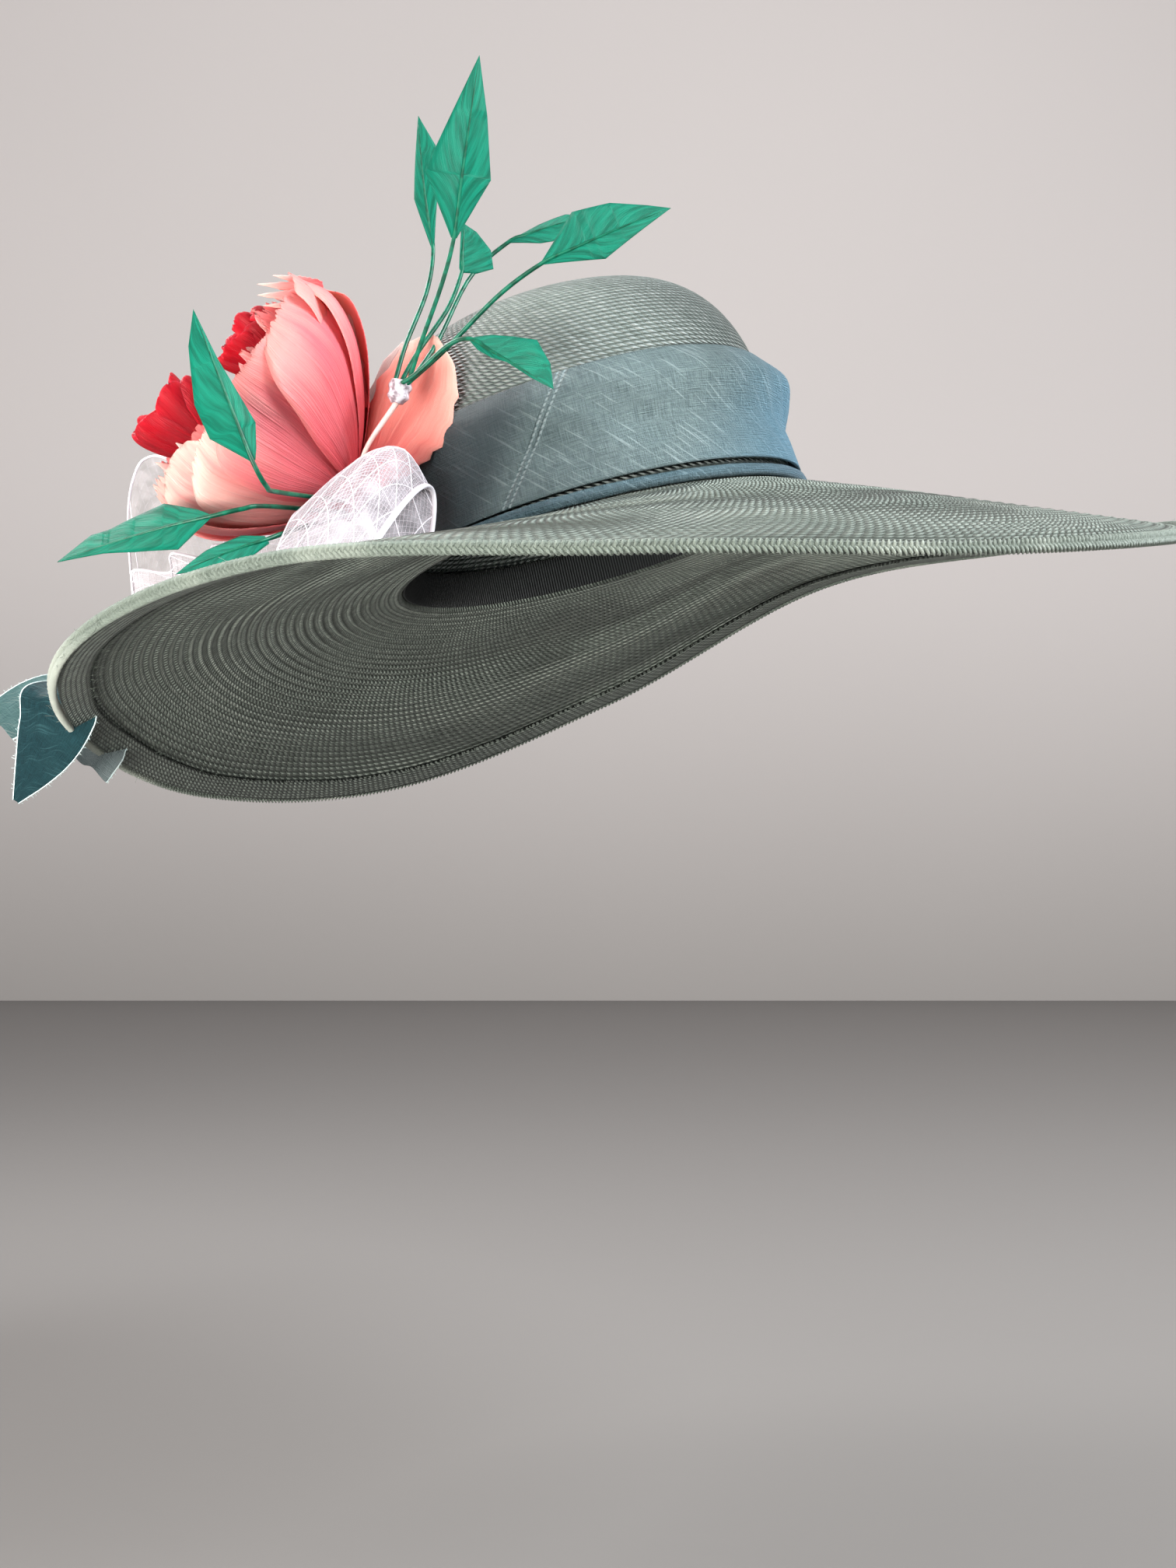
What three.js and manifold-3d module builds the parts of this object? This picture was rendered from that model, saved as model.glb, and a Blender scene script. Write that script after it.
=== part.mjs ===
// A wide-brimmed dress hat of woven straw. A pleated silk band wraps the crown, and on the wearer's
// right stand a feather peony, trimmed green feathers on long quills and loops of stiffened veil.
// Lengths are millimetres. In the hat's own frame +X is the wearer's left, +Y the back, +Z the
// crown's axis, and the origin is the middle of the head opening.
import * as THREE from 'three';
import { mergeVertices } from 'three/addons/utils/BufferGeometryUtils.js';
import Module from 'manifold-3d';

const wasm = await Module();
wasm.setup();

// Head opening: half of its oval along the head and across it
const HEAD_HALF_LENGTH = 97.8;
const HEAD_HALF_WIDTH = 81.3;

// Walls, from the head outwards, and the gap between neighbours
const RIBBON_THICKNESS = 0.8;
const STRAW_THICKNESS = 1.6;
const SILK_THICKNESS = 1.4;
const GAP = 0.3;

// Crown
const CROWN_HEIGHT = 105.5;
const CROWN_UPRIGHT = 25.5;
const CROWN_TAPER = 0.983;
const CROWN_SIDE_POWER = 4.07;
const CROWN_TOP_POWER = 2.3;

// Brim: how far it reaches past the head opening, and how low its lowest edge hangs
const BRIM_REACH_FRONT = 152;
const BRIM_REACH_SIDE = 154.5;
const BRIM_DROP = 74;
const BRIM_SAG = 0.15;
const COLLAR_HEIGHT = 17;
const HEM_WIDTH = 14;
const EDGE_HEIGHT = 5.2;
const EDGE_WIDTH = 4.2;
const RIBBON_HEIGHT = 16;

// Silk band and the padded roll at its foot
const BAND_TOP = 54;
const BAND_PUFF = 7.5;
const ROLL_DIAMETER = 5;

// Peony
const PEONY_RADIUS = 62;
const PEONY_PETALS = 7;
const PETAL_THICKNESS = 1.1;
const STALK_RADIUS = 3;
const CALYX_RADIUS = 8;
const CALYX_DEPTH = 10;
const CALYX_LIP = 4;
const HEART_RADIUS = 19;
const HEART_CURLS = 4;

// Green feathers, veil and sash tails
const QUILL_RADIUS = 0.9;
const LEAF_THICKNESS = 1;
const WRAP_LENGTH = 8;
const WRAP_RADIUS = 4.4;
const VEIL_THICKNESS = 1;
const VEIL_LOOP_HEIGHT = 42;
const VEIL_FAN_HEIGHT = 30;
const VEIL_FIN_HEIGHT = 100;
const TAIL_WIDTH = 34;
const KNOT_RADIUS = 9;
const KNOT_HEIGHT = 24;

// How the hat is worn: tipped back and leaning to the wearer's right
const TIP_BACK = 11;
const LEAN_RIGHT = 9.3;

// Facets round the hat, shared by every wall so that neighbours stay parallel
const AROUND = 42;

// How low the brim's edge hangs, as shares of BRIM_DROP, every 30 degrees from the wearer's left
const RIM_DROP_SHARES = [0.35, 0.1, 0.49, 0.77, 0.64, 0.28, 0.12, 0.21, 0.64, 0.96, 0.96, 0.68];

// How far the band stands out, as shares of BAND_PUFF, from its foot to its folded top edge.
// "calm" is its left and back, "full" its right front, where it billows.
const BAND_SECTION = [
  { height: 0, calm: 0.3, full: 0.35 },
  { height: 0.2, calm: 0.22, full: 0.3 },
  { height: 0.44, calm: 0.16, full: 0.28 },
  { height: 0.65, calm: 0.36, full: 0.75 },
  { height: 0.82, calm: 0.42, full: 1 },
  { height: 1, calm: 0.12, full: 0.25 },
];
const BAND_FULLEST = 322;

const ribbonMiddle = RIBBON_THICKNESS / 2;
const collarMiddle = RIBBON_THICKNESS + GAP + STRAW_THICKNESS / 2;
const crownMiddle = collarMiddle + STRAW_THICKNESS + GAP;
const bandInside = crownMiddle + STRAW_THICKNESS / 2 + GAP;
const crownHalfWidth = HEAD_HALF_WIDTH + bandInside - GAP;
const crownHalfLength = HEAD_HALF_LENGTH + bandInside - GAP;

const straw = new THREE.MeshStandardMaterial({ color: 0x8fa39b, roughness: 0.7 });
const strawEdge = new THREE.MeshStandardMaterial({ color: 0xb4c2ba, roughness: 0.6 });
const silk = new THREE.MeshStandardMaterial({ color: 0x7e9bb0, roughness: 0.45 });
const tealSilk = new THREE.MeshStandardMaterial({ color: 0x1e5f69, roughness: 0.4 });
const ribbonCloth = new THREE.MeshStandardMaterial({ color: 0x23282b, roughness: 0.8 });
const coral = new THREE.MeshStandardMaterial({ color: 0xf06e6e, roughness: 0.6 });
const crimson = new THREE.MeshStandardMaterial({ color: 0xbe0f1e, roughness: 0.6 });
const leafGreen = new THREE.MeshStandardMaterial({ color: 0x0f7a5a, roughness: 0.55 });
const veilWhite = new THREE.MeshStandardMaterial({ color: 0xf0eef5, roughness: 0.8 });
const clearWrap = new THREE.MeshStandardMaterial({ color: 0xc9c4cc, roughness: 0.3 });

const radians = THREE.MathUtils.degToRad;
const lerp = THREE.MathUtils.lerp;

function point(x, y, z) {
  return new THREE.Vector3(x, y, z);
}

function steps(count) {
  return Array.from({ length: count + 1 }, (_, i) => i / count);
}

// A value between a table's evenly spaced entries, curved smoothly through them
function tableValue(table, share, closed) {
  const points = table.map((value) => point(value, 0, 0));
  const curve = new THREE.CatmullRomCurve3(points, closed, 'catmullrom', 0.5);
  return curve.getPoint(share).x;
}

// Closed solid from its triangles: shared vertices merged, empty triangles dropped, faces out
function closedSolid(corners) {
  const loose = new THREE.BufferGeometry();
  const positions = corners.flatMap((corner) => [corner.x, corner.y, corner.z]);
  loose.setAttribute('position', new THREE.Float32BufferAttribute(positions, 3));
  return tidied(loose);
}

function tidied(geometry) {
  geometry.deleteAttribute('normal');
  geometry.deleteAttribute('uv');
  const merged = mergeVertices(geometry, 0.001);
  const place = merged.getAttribute('position');
  const index = merged.getIndex().array;
  const kept = [];
  let volume = 0;
  for (let i = 0; i < index.length; i += 3) {
    const [a, b, c] = index.slice(i, i + 3);
    if (a === b || b === c || c === a) continue;
    kept.push([a, b, c]);
    const [p, q, r] = [a, b, c].map((n) => point().fromBufferAttribute(place, n));
    volume += p.dot(q.cross(r));
  }
  const outward = volume < 0 ? kept.map(([a, b, c]) => [a, c, b]) : kept;
  merged.setIndex(outward.flat());
  return merged;
}

// Solid through a row of sections, each a ring of points; open ends are capped strip by strip
function loft(sections, closed = false) {
  const corners = [];
  const size = sections[0].length;
  const spans = closed ? sections.length : sections.length - 1;
  for (let i = 0; i < spans; i++) {
    const here = sections[i];
    const next = sections[(i + 1) % sections.length];
    for (let j = 0; j < size; j++) {
      const k = (j + 1) % size;
      corners.push(here[j], next[j], next[k], here[j], next[k], here[k]);
    }
  }
  if (!closed) {
    const first = sections[0];
    const last = sections[sections.length - 1];
    for (let j = 0; j < size / 2 - 1; j++) {
      const [a, b, c, d] = [j, j + 1, size - 2 - j, size - 1 - j];
      corners.push(first[a], first[b], first[c], first[a], first[c], first[d]);
      corners.push(last[a], last[c], last[b], last[a], last[d], last[c]);
    }
  }
  return closedSolid(corners);
}

// Wall of even thickness on a grid of points, moved along its own normals by "shift"
function sheet(grid, thickness, { closed = false, shift = 0 } = {}) {
  const rows = grid.length;
  const last = grid[0].length - 1;
  const rowAt = (i) => (closed ? grid[(i + rows) % rows] : grid[Math.min(Math.max(i, 0), rows - 1)]);
  const normals = grid.map((row, i) => row.map((_, j) => {
    const alongRows = rowAt(i + 1)[j].clone().sub(rowAt(i - 1)[j]);
    const alongRow = row[Math.min(j + 1, last)].clone().sub(row[Math.max(j - 1, 0)]);
    return alongRows.cross(alongRow).normalize();
  }));
  for (const j of [0, last]) {
    if (!closed || grid[0][j].distanceTo(grid[rows >> 1][j]) > thickness) continue;
    const neighbour = j === 0 ? 1 : last - 1;
    const poleNormal = point();
    normals.forEach((row) => poleNormal.add(row[neighbour]));
    poleNormal.normalize();
    normals.forEach((row) => row[j].copy(poleNormal));
  }
  const face = (i, distance) => grid[i].map((p, j) => p.clone().addScaledVector(normals[i][j], distance));
  const sections = grid.map((_, i) => [
    ...face(i, shift + thickness / 2),
    ...face(i, shift - thickness / 2).reverse(),
  ]);
  return loft(sections, closed);
}

function tube(route, radius, sides, length) {
  const outline = new THREE.Shape(steps(sides - 1).map((_, i) => {
    const turn = (i / sides) * Math.PI * 2;
    return new THREE.Vector2(radius * Math.cos(turn), radius * Math.sin(turn));
  }));
  const extrudePath = new THREE.CatmullRomCurve3(route);
  return tidied(new THREE.ExtrudeGeometry(outline, { steps: length, bevelEnabled: false, extrudePath }));
}

function toManifold(geometry) {
  const vertProperties = new Float32Array(geometry.getAttribute('position').array);
  const triVerts = new Uint32Array(geometry.getIndex().array);
  return new wasm.Manifold(new wasm.Mesh({ numProp: 3, vertProperties, triVerts }));
}

function fuse(geometries) {
  const joined = geometries.map(toManifold).reduce((whole, piece) => whole.add(piece));
  const { vertProperties, triVerts } = joined.getMesh();
  const geometry = new THREE.BufferGeometry();
  geometry.setAttribute('position', new THREE.Float32BufferAttribute(vertProperties, 3));
  geometry.setIndex(Array.from(triVerts));
  return geometry;
}

// Point of the head opening's oval, grown outwards by "offset"
function ovalPoint(angle, offset, z) {
  const turn = radians(angle);
  const x = (HEAD_HALF_WIDTH + offset) * Math.cos(turn);
  const y = (HEAD_HALF_LENGTH + offset) * Math.sin(turn);
  return point(x, y, z);
}

function rimPoint(angle) {
  const turn = radians(angle);
  const x = (HEAD_HALF_WIDTH + BRIM_REACH_SIDE) * Math.cos(turn);
  const y = (HEAD_HALF_LENGTH + BRIM_REACH_FRONT) * Math.sin(turn);
  return point(x, y, -BRIM_DROP * tableValue(RIM_DROP_SHARES, (((angle % 360) + 360) % 360) / 360, true));
}

// Middle of the brim's straw: share 0 is at the collar and 1 at the rim
function brimPoint(angle, share) {
  const place = ovalPoint(angle, collarMiddle, 0).lerp(rimPoint(angle), share);
  const fall = share > 1 ? 1 : share - BRIM_SAG * share * (1 - share);
  place.z = rimPoint(angle).z * fall - STRAW_THICKNESS / 2;
  return place;
}

// Point at a height above the brim's upper face, on the facet that lies at that angle
function overBrim(angle, share, height) {
  const facet = 360 / AROUND;
  const from = Math.floor(angle / facet) * facet;
  const place = brimPoint(from, share).lerp(brimPoint(from + facet, share), (angle - from) / facet);
  place.z += STRAW_THICKNESS / 2 + height;
  return place;
}

// Where the brim slopes most, lengths across its wall grow by this factor measured straight up
const steepest = Math.atan(BRIM_DROP / BRIM_REACH_FRONT);
const upright = 1 / Math.cos(steepest);
const straightUp = GAP + STRAW_THICKNESS * (upright - 1);
const onBrim = straightUp + (VEIL_THICKNESS / 2) * Math.tan(steepest);

// Reach of the crown's middle surface at a height, as a share of its reach at the foot
function crownShare(z) {
  if (z <= CROWN_UPRIGHT) return lerp(1, CROWN_TAPER, z / CROWN_UPRIGHT);
  const rise = (z - CROWN_UPRIGHT) / (CROWN_HEIGHT - STRAW_THICKNESS / 2 - CROWN_UPRIGHT);
  return CROWN_TAPER * (1 - rise ** CROWN_TOP_POWER) ** (1 / CROWN_SIDE_POWER);
}

// Point of an upright wall that narrows towards the crown's top as the crown does
function wallPoint(angle, offset, z) {
  const place = ovalPoint(angle, offset, 0).multiplyScalar(crownShare(Math.max(z, 0)));
  return place.setZ(z);
}

// Places on and round the crown, as shares of its half width, half length and height
function byCrown(across, along, up) {
  return point(across * crownHalfWidth, along * crownHalfLength, up * CROWN_HEIGHT);
}

const hat = new THREE.Group();

function add(name, geometry, material) {
  const mesh = new THREE.Mesh(geometry, material);
  mesh.name = name;
  hat.add(mesh);
}

// Ring grid: one row of points for each facet round the hat
function ringGrid(rowAt) {
  return Array.from({ length: AROUND }, (_, i) => rowAt((i * 360) / AROUND));
}

function ringLoft(sectionAt) {
  return loft(ringGrid(sectionAt), true);
}

// Six-sided section of a roll that runs round the hat, flattened to its own width and height
function rollSection(centre, outward, width, height) {
  return steps(5).map((_, i) => {
    const turn = ((i + 0.5) / 6) * Math.PI * 2;
    const side = outward.clone().multiplyScalar((width / 2) * Math.cos(turn));
    return centre.clone().add(side).add(point(0, 0, (height / 2) * Math.sin(turn)));
  });
}

// Crown: upright at its foot, then a flat-topped dome
function crown() {
  const foot = GAP;
  const uprightRows = [foot, CROWN_UPRIGHT];
  const domeRows = steps(8).slice(1).map((share) => {
    const turn = (share * Math.PI) / 2;
    const rise = Math.sin(turn) ** (2 / CROWN_TOP_POWER);
    return CROWN_UPRIGHT + rise * (CROWN_HEIGHT - STRAW_THICKNESS / 2 - CROWN_UPRIGHT);
  });
  const heights = [...uprightRows, ...domeRows];
  const grid = ringGrid((angle) => heights.map((z) => wallPoint(angle, crownMiddle, z)));
  return sheet(grid, STRAW_THICKNESS, { closed: true });
}

// Brim, with the collar that turns up inside the crown
function brim() {
  const grid = ringGrid((angle) => [
    wallPoint(angle, collarMiddle, COLLAR_HEIGHT),
    ...[0, 0.08, 0.24, 0.42, 0.6, 0.78, 0.9, 1].map((share) => brimPoint(angle, share)),
  ]);
  return sheet(grid, STRAW_THICKNESS, { closed: true });
}

// Straw folded back under the brim along its edge
function brimHem() {
  const width = HEM_WIDTH / BRIM_REACH_SIDE;
  const grid = ringGrid((angle) => [1 - width, 1 - width / 2, 1].map((share) => brimPoint(angle, share)));
  return sheet(grid, STRAW_THICKNESS, { closed: true, shift: STRAW_THICKNESS + 1.5 * GAP });
}

// Plaited straw along the rim, covering the ends of brim and hem
function edgePlait() {
  return ringLoft((angle) => {
    const outward = rimPoint(angle).sub(brimPoint(angle, 0.9)).setZ(0).normalize();
    const centre = brimPoint(angle, 1).addScaledVector(outward, GAP + EDGE_WIDTH / 2);
    centre.z -= (STRAW_THICKNESS + GAP) / 2;
    return rollSection(centre, outward, EDGE_WIDTH, EDGE_HEIGHT);
  });
}

function headRibbon() {
  const grid = ringGrid((angle) => [0, RIBBON_HEIGHT].map((z) => wallPoint(angle, ribbonMiddle, z)));
  return sheet(grid, RIBBON_THICKNESS, { closed: true });
}

// Silk roll that lies in the corner between band and brim
function bandRoll() {
  const radius = ROLL_DIAMETER / 2;
  return ringLoft((angle) => {
    const centre = ovalPoint(angle, bandInside + radius, 0);
    const share = (bandInside + radius - collarMiddle) / BRIM_REACH_SIDE;
    centre.z = overBrim(angle, share, straightUp + radius * upright).z;
    const outward = centre.clone().setZ(0).normalize();
    return rollSection(centre, outward, ROLL_DIAMETER, ROLL_DIAMETER);
  });
}

// Middle of the silk band at one station of BAND_SECTION, moved outwards by "offset": its folds
// are mixed by how full the silk is at that angle
function bandPoint(angle, station, offset = 0) {
  const { height, calm, full } = BAND_SECTION[station];
  const fullness = (1 + Math.cos(radians(angle - BAND_FULLEST))) / 2;
  const foot = straightUp + ROLL_DIAMETER * upright + GAP;
  const wall = wallPoint(angle, crownMiddle, lerp(foot, BAND_TOP, height));
  const outward = wall.clone().setZ(0).normalize();
  const clear = STRAW_THICKNESS / 2 + GAP + SILK_THICKNESS / 2;
  const fold = BAND_PUFF * lerp(calm, full, fullness ** 2);
  return wall.addScaledVector(outward, clear + fold + offset);
}

function silkBand() {
  const grid = ringGrid((angle) => BAND_SECTION.map((_, station) => bandPoint(angle, station)));
  return sheet(grid, SILK_THICKNESS, { closed: true });
}

add('crown', crown(), straw);
add('brim', brim(), straw);
add('brim_hem', brimHem(), straw);
add('edge_plait', edgePlait(), strawEdge);
add('head_ribbon', headRibbon(), ribbonCloth);
add('silk_band', silkBand(), silk);
add('band_roll', bandRoll(), silk);

// Feather blade: a cupped sheet along a curve from base to tip. "facing" is the side it bulges to,
// "bulge" how far, "cup" how much its edges bend back, and "widths" its width from base to tip as
// shares of "width".
function blade({ base, tip, facing, bulge, bulgeAt = 0.5, width, cup, widths, thickness, across = 4 }) {
  const control = base.clone().lerp(tip, bulgeAt).addScaledVector(facing, 2 * bulge);
  const spine = new THREE.QuadraticBezierCurve3(base, control, tip);
  const grid = widths.map((share, i) => {
    const along = i / (widths.length - 1);
    const middle = spine.getPoint(along);
    const side = spine.getTangent(along).cross(facing).normalize();
    const out = side.clone().cross(spine.getTangent(along)).normalize();
    return steps(across).map((u) => {
      const across = 2 * u - 1;
      return middle.clone()
        .addScaledVector(side, (across * share * width) / 2)
        .addScaledVector(out, -cup * share * width * across * across);
    });
  });
  return sheet(grid, thickness);
}

// Widths of the feathers from base to tip
const PETAL_WIDTHS = [0.16, 0.74, 1, 0.92, 0.42];
const CURL_WIDTHS = [0.3, 0.8, 1, 0.5];
const LEAF_WIDTHS = [0.08, 0.7, 1, 0.74, 0.38, 0.05];

// Peony: its root stands off the band on the wearer's right, and its mouth looks up and outwards
const peonyRoot = byCrown(-1.292, 0.02, 0.332);
const peonyAxis = point(-0.644, 0.119, 0.755).normalize();
const peonyUp = point(0, 0, 1).addScaledVector(peonyAxis, -peonyAxis.z).normalize();
const peonySide = peonyAxis.clone().cross(peonyUp);

// Point in the peony's frame: along its axis, out from it and at a turn round it, as shares of
// its radius; a turn of 0 is upwards
function inPeony(along, out, turn) {
  const direction = peonyUp.clone().multiplyScalar(Math.cos(radians(turn)));
  direction.addScaledVector(peonySide, Math.sin(radians(turn)));
  return peonyRoot.clone()
    .addScaledVector(peonyAxis, along * PEONY_RADIUS)
    .addScaledVector(direction, out * PEONY_RADIUS);
}

// Place beside the calyx for a foot of the given radius: "along" is a share of the calyx's depth
function besideCalyx(turn, along, radius) {
  return inPeony((along * CALYX_DEPTH) / PEONY_RADIUS, (CALYX_RADIUS + GAP + radius) / PEONY_RADIUS, turn);
}

// Solid turned about the peony's axis, from a table of where it is along the axis and how wide
function turnedOnPeony(outline) {
  const profile = outline.map(({ along, radius }) => new THREE.Vector2(radius, along));
  const solid = new THREE.LatheGeometry(profile, 8);
  const lean = new THREE.Quaternion().setFromUnitVectors(point(0, 1, 0), peonyAxis);
  solid.applyMatrix4(new THREE.Matrix4().compose(peonyRoot, lean, point(1, 1, 1)));
  return tidied(solid);
}

// Outer whorl: wide cupped petals fused to the calyx, whose stalk reaches in to the band's pleat
function peonyPetals() {
  const pieces = [turnedOnPeony([
    { along: -CALYX_DEPTH, radius: 0 },
    { along: -CALYX_DEPTH, radius: CALYX_RADIUS * 0.7 },
    { along: -CALYX_DEPTH * 0.8, radius: CALYX_RADIUS },
    { along: CALYX_LIP, radius: CALYX_RADIUS },
    { along: CALYX_LIP, radius: 0 },
  ])];
  const stalkStart = inPeony(-CALYX_DEPTH / 2 / PEONY_RADIUS, 0, 0);
  const stalkEnd = bandPoint(180, 2, SILK_THICKNESS / 2 + 2 * GAP);
  const stalkBend = bandPoint(180, 2, stalkStart.distanceTo(stalkEnd) / 2);
  pieces.push(tube([stalkStart, stalkBend, stalkEnd], STALK_RADIUS, 6, 4));
  for (let i = 0; i < PEONY_PETALS; i++) {
    const turn = ((i + 0.3) * 360) / PEONY_PETALS;
    const base = inPeony(0.02, 0.09, turn);
    const tip = inPeony(1.04, 0.9, turn);
    pieces.push(blade({
      base,
      tip,
      facing: inPeony(-0.6, 1, turn).sub(peonyRoot).normalize(),
      bulge: 0.27 * PEONY_RADIUS,
      width: (2 * Math.PI * PEONY_RADIUS * 1.06) / PEONY_PETALS,
      cup: 0.13,
      widths: PETAL_WIDTHS,
      thickness: PETAL_THICKNESS,
      across: 3,
    }));
  }
  return fuse(pieces);
}

// Heart: curled petals round a thin core that stands on the calyx
function peonyHeart(out, turn, reach) {
  const coreRadius = STALK_RADIUS * 0.8;
  const start = 0.45 * PEONY_RADIUS;
  const foot = inPeony(0, coreRadius / PEONY_RADIUS * 1.2, turn).sub(peonyRoot);
  const centre = inPeony(0, out, turn).sub(peonyRoot);
  const onAxis = (along) => peonyRoot.clone().addScaledVector(peonyAxis, along);
  const pieces = [tube([
    onAxis(CALYX_LIP + GAP).add(foot),
    onAxis(CALYX_LIP + GAP + coreRadius).add(foot),
    onAxis(lerp(CALYX_LIP, start, 0.5)).add(foot.clone().lerp(centre, 0.5)),
    onAxis(start).add(centre),
    onAxis(start + HEART_RADIUS).add(centre),
  ], coreRadius, 6, 5)];
  for (let i = 0; i < HEART_CURLS; i++) {
    const curlTurn = ((i + 0.2) * 360) / HEART_CURLS;
    const direction = peonyUp.clone().multiplyScalar(Math.cos(radians(curlTurn)));
    direction.addScaledVector(peonySide, Math.sin(radians(curlTurn)));
    const top = reach * PEONY_RADIUS;
    pieces.push(blade({
      base: onAxis(start).add(centre).addScaledVector(direction, coreRadius / 2),
      tip: onAxis(top).add(centre).addScaledVector(direction, HEART_RADIUS * 0.55),
      facing: direction,
      bulge: HEART_RADIUS * 0.4,
      width: HEART_RADIUS * 1.25,
      cup: 0.2,
      widths: CURL_WIDTHS,
      thickness: PETAL_THICKNESS,
      across: 3,
    }));
  }
  return fuse(pieces);
}

add('peony_petals', peonyPetals(), coral);
add('peony_heart_upper', peonyHeart(0.4, 0, 1.3), crimson);
add('peony_heart_lower', peonyHeart(0.36, 180, 1.36), crimson);

// Two broad petals between peony and crown; their feet stand by the calyx at the given turn, and
// "width" and "bulge" are shares of the peony's radius
const SIDE_PETALS = [
  { name: 'side_petal_front', turn: 300, tip: [-0.88, -0.46, 0.82], width: 0.53, bulge: -0.016 },
  { name: 'side_petal_back', turn: 325, tip: [-0.92, -0.25, 0.86], width: 0.42, bulge: -0.024 },
];
for (const { name, turn, tip, width, bulge } of SIDE_PETALS) {
  add(name, blade({
    base: besideCalyx(turn, -0.7, PETAL_THICKNESS),
    tip: byCrown(...tip),
    facing: point(-0.9, -0.41, 0.07),
    bulge: bulge * PEONY_RADIUS,
    width: width * PEONY_RADIUS,
    cup: 0.06,
    widths: PETAL_WIDTHS,
    thickness: PETAL_THICKNESS,
  }), coral);
}

// Trimmed green feathers, from blade base to blade tip as shares of the crown's half width, half
// length and height. "broad" is the blade's width as a share of its length, and "facing" is the
// side the blade shows. The lower quills start beside the calyx at "turn", and "rise" is how
// steeply they leave it.
const UPPER_LEAVES = [
  {
    name: 'leaf_tall',
    base: [-0.8, -0.635, 1.128],
    tip: [-0.56, -0.82, 1.782],
    broad: 0.34,
    facing: [-0.5, -0.86, -0.1],
  },
  {
    name: 'leaf_slim',
    base: [-0.72, -0.33, 1.2],
    tip: [-0.63, -0.335, 1.754],
    broad: 0.24,
    facing: [-0.8, -0.5, 0],
  },
  {
    name: 'leaf_half',
    base: [-0.685, -0.46, 1.05],
    tip: [-0.62, -0.48, 1.24],
    broad: 0.5,
    facing: [-0.5, -0.86, 0],
  },
  {
    name: 'leaf_small',
    base: [-0.35, -0.4, 1.185],
    tip: [0.01, -0.576, 1.21],
    broad: 0.3,
    facing: [-0.3, -0.6, 0.5],
  },
  {
    name: 'leaf_reaching',
    base: [-0.58, -0.94, 0.9],
    tip: [-0.035, -1.21, 0.986],
    broad: 0.4,
    facing: [-0.4, -0.9, 0.1],
  },
  {
    name: 'leaf_drooping',
    base: [-0.955, -0.8, 0.673],
    tip: [-0.78, -1.075, 0.37],
    broad: 0.34,
    facing: [-0.6, -0.75, 0.3],
  },
];
const LOWER_LEAVES = [
  {
    name: 'leaf_upright',
    base: [-2.03, -0.585, 0.35],
    tip: [-2.1, -0.5, 0.96],
    broad: 0.3,
    facing: [-0.5, -0.86, -0.1],
    turn: 243,
    rise: 0.18,
  },
  {
    name: 'leaf_outer',
    base: [-2.119, -0.254, 0.246],
    tip: [-2.678, 0.234, 0.256],
    broad: 0.28,
    facing: [-0.45, -0.8, 0.4],
    turn: 214,
    rise: 0.12,
  },
  {
    name: 'leaf_short',
    base: [-1.95, -0.4, 0.1],
    tip: [-2.39, -0.35, 0.023],
    broad: 0.32,
    facing: [-0.4, -0.8, 0.4],
    turn: 220,
    rise: -0.02,
  },
];

// Clear wrap that binds the upper feathers' quills in front of the side petal
const wrapFoot = byCrown(-1.175, -0.445, 0.56);
const wrapAxis = point(0.35, -0.25, 0.9).normalize();

function leaf({ base, tip, broad, facing }, foot, start) {
  const [bladeBase, bladeTip] = [byCrown(...base), byCrown(...tip)];
  const length = bladeBase.distanceTo(bladeTip);
  const reach = foot.distanceTo(bladeBase) / 3;
  const along = bladeTip.clone().sub(bladeBase).normalize();
  const route = [
    foot,
    foot.clone().addScaledVector(start, reach),
    bladeBase.clone().addScaledVector(along, -reach),
    bladeBase.clone().addScaledVector(along, length * 0.25),
  ];
  return fuse([
    tube(route, QUILL_RADIUS, 5, 5),
    blade({
      base: bladeBase,
      tip: bladeTip,
      facing: point(...facing).normalize(),
      bulge: length * 0.03,
      width: broad * length,
      cup: 0.12,
      widths: LEAF_WIDTHS,
      thickness: LEAF_THICKNESS,
      across: 2,
    }),
  ]);
}

// Quills stand side by side in a ring on the wrap's top, in the order in which they spread
const wrapTop = wrapFoot.clone().addScaledVector(wrapAxis, WRAP_LENGTH + 2 * GAP);
const ringSide = wrapAxis.clone().cross(point(0, 1, 0)).normalize();
const ringUp = wrapAxis.clone().cross(ringSide);
function spreadTurn({ base }) {
  const towards = byCrown(...base).sub(wrapTop);
  const turn = THREE.MathUtils.radToDeg(Math.atan2(towards.dot(ringUp), towards.dot(ringSide)));
  return (turn + 360) % 360;
}
const inOrder = [...UPPER_LEAVES].sort((a, b) => spreadTurn(a) - spreadTurn(b));
const apart = 360 / inOrder.length;
const drift = inOrder.map((row, i) => spreadTurn(row) - apart * i);
const startTurn = drift.reduce((sum, value) => sum + value) / drift.length;
inOrder.forEach((row, i) => {
  const turn = radians(startTurn + apart * i);
  const foot = wrapTop.clone()
    .addScaledVector(ringSide, (WRAP_RADIUS - QUILL_RADIUS) * Math.cos(turn))
    .addScaledVector(ringUp, (WRAP_RADIUS - QUILL_RADIUS) * Math.sin(turn));
  add(row.name, leaf(row, foot, wrapAxis), leafGreen);
});

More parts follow.
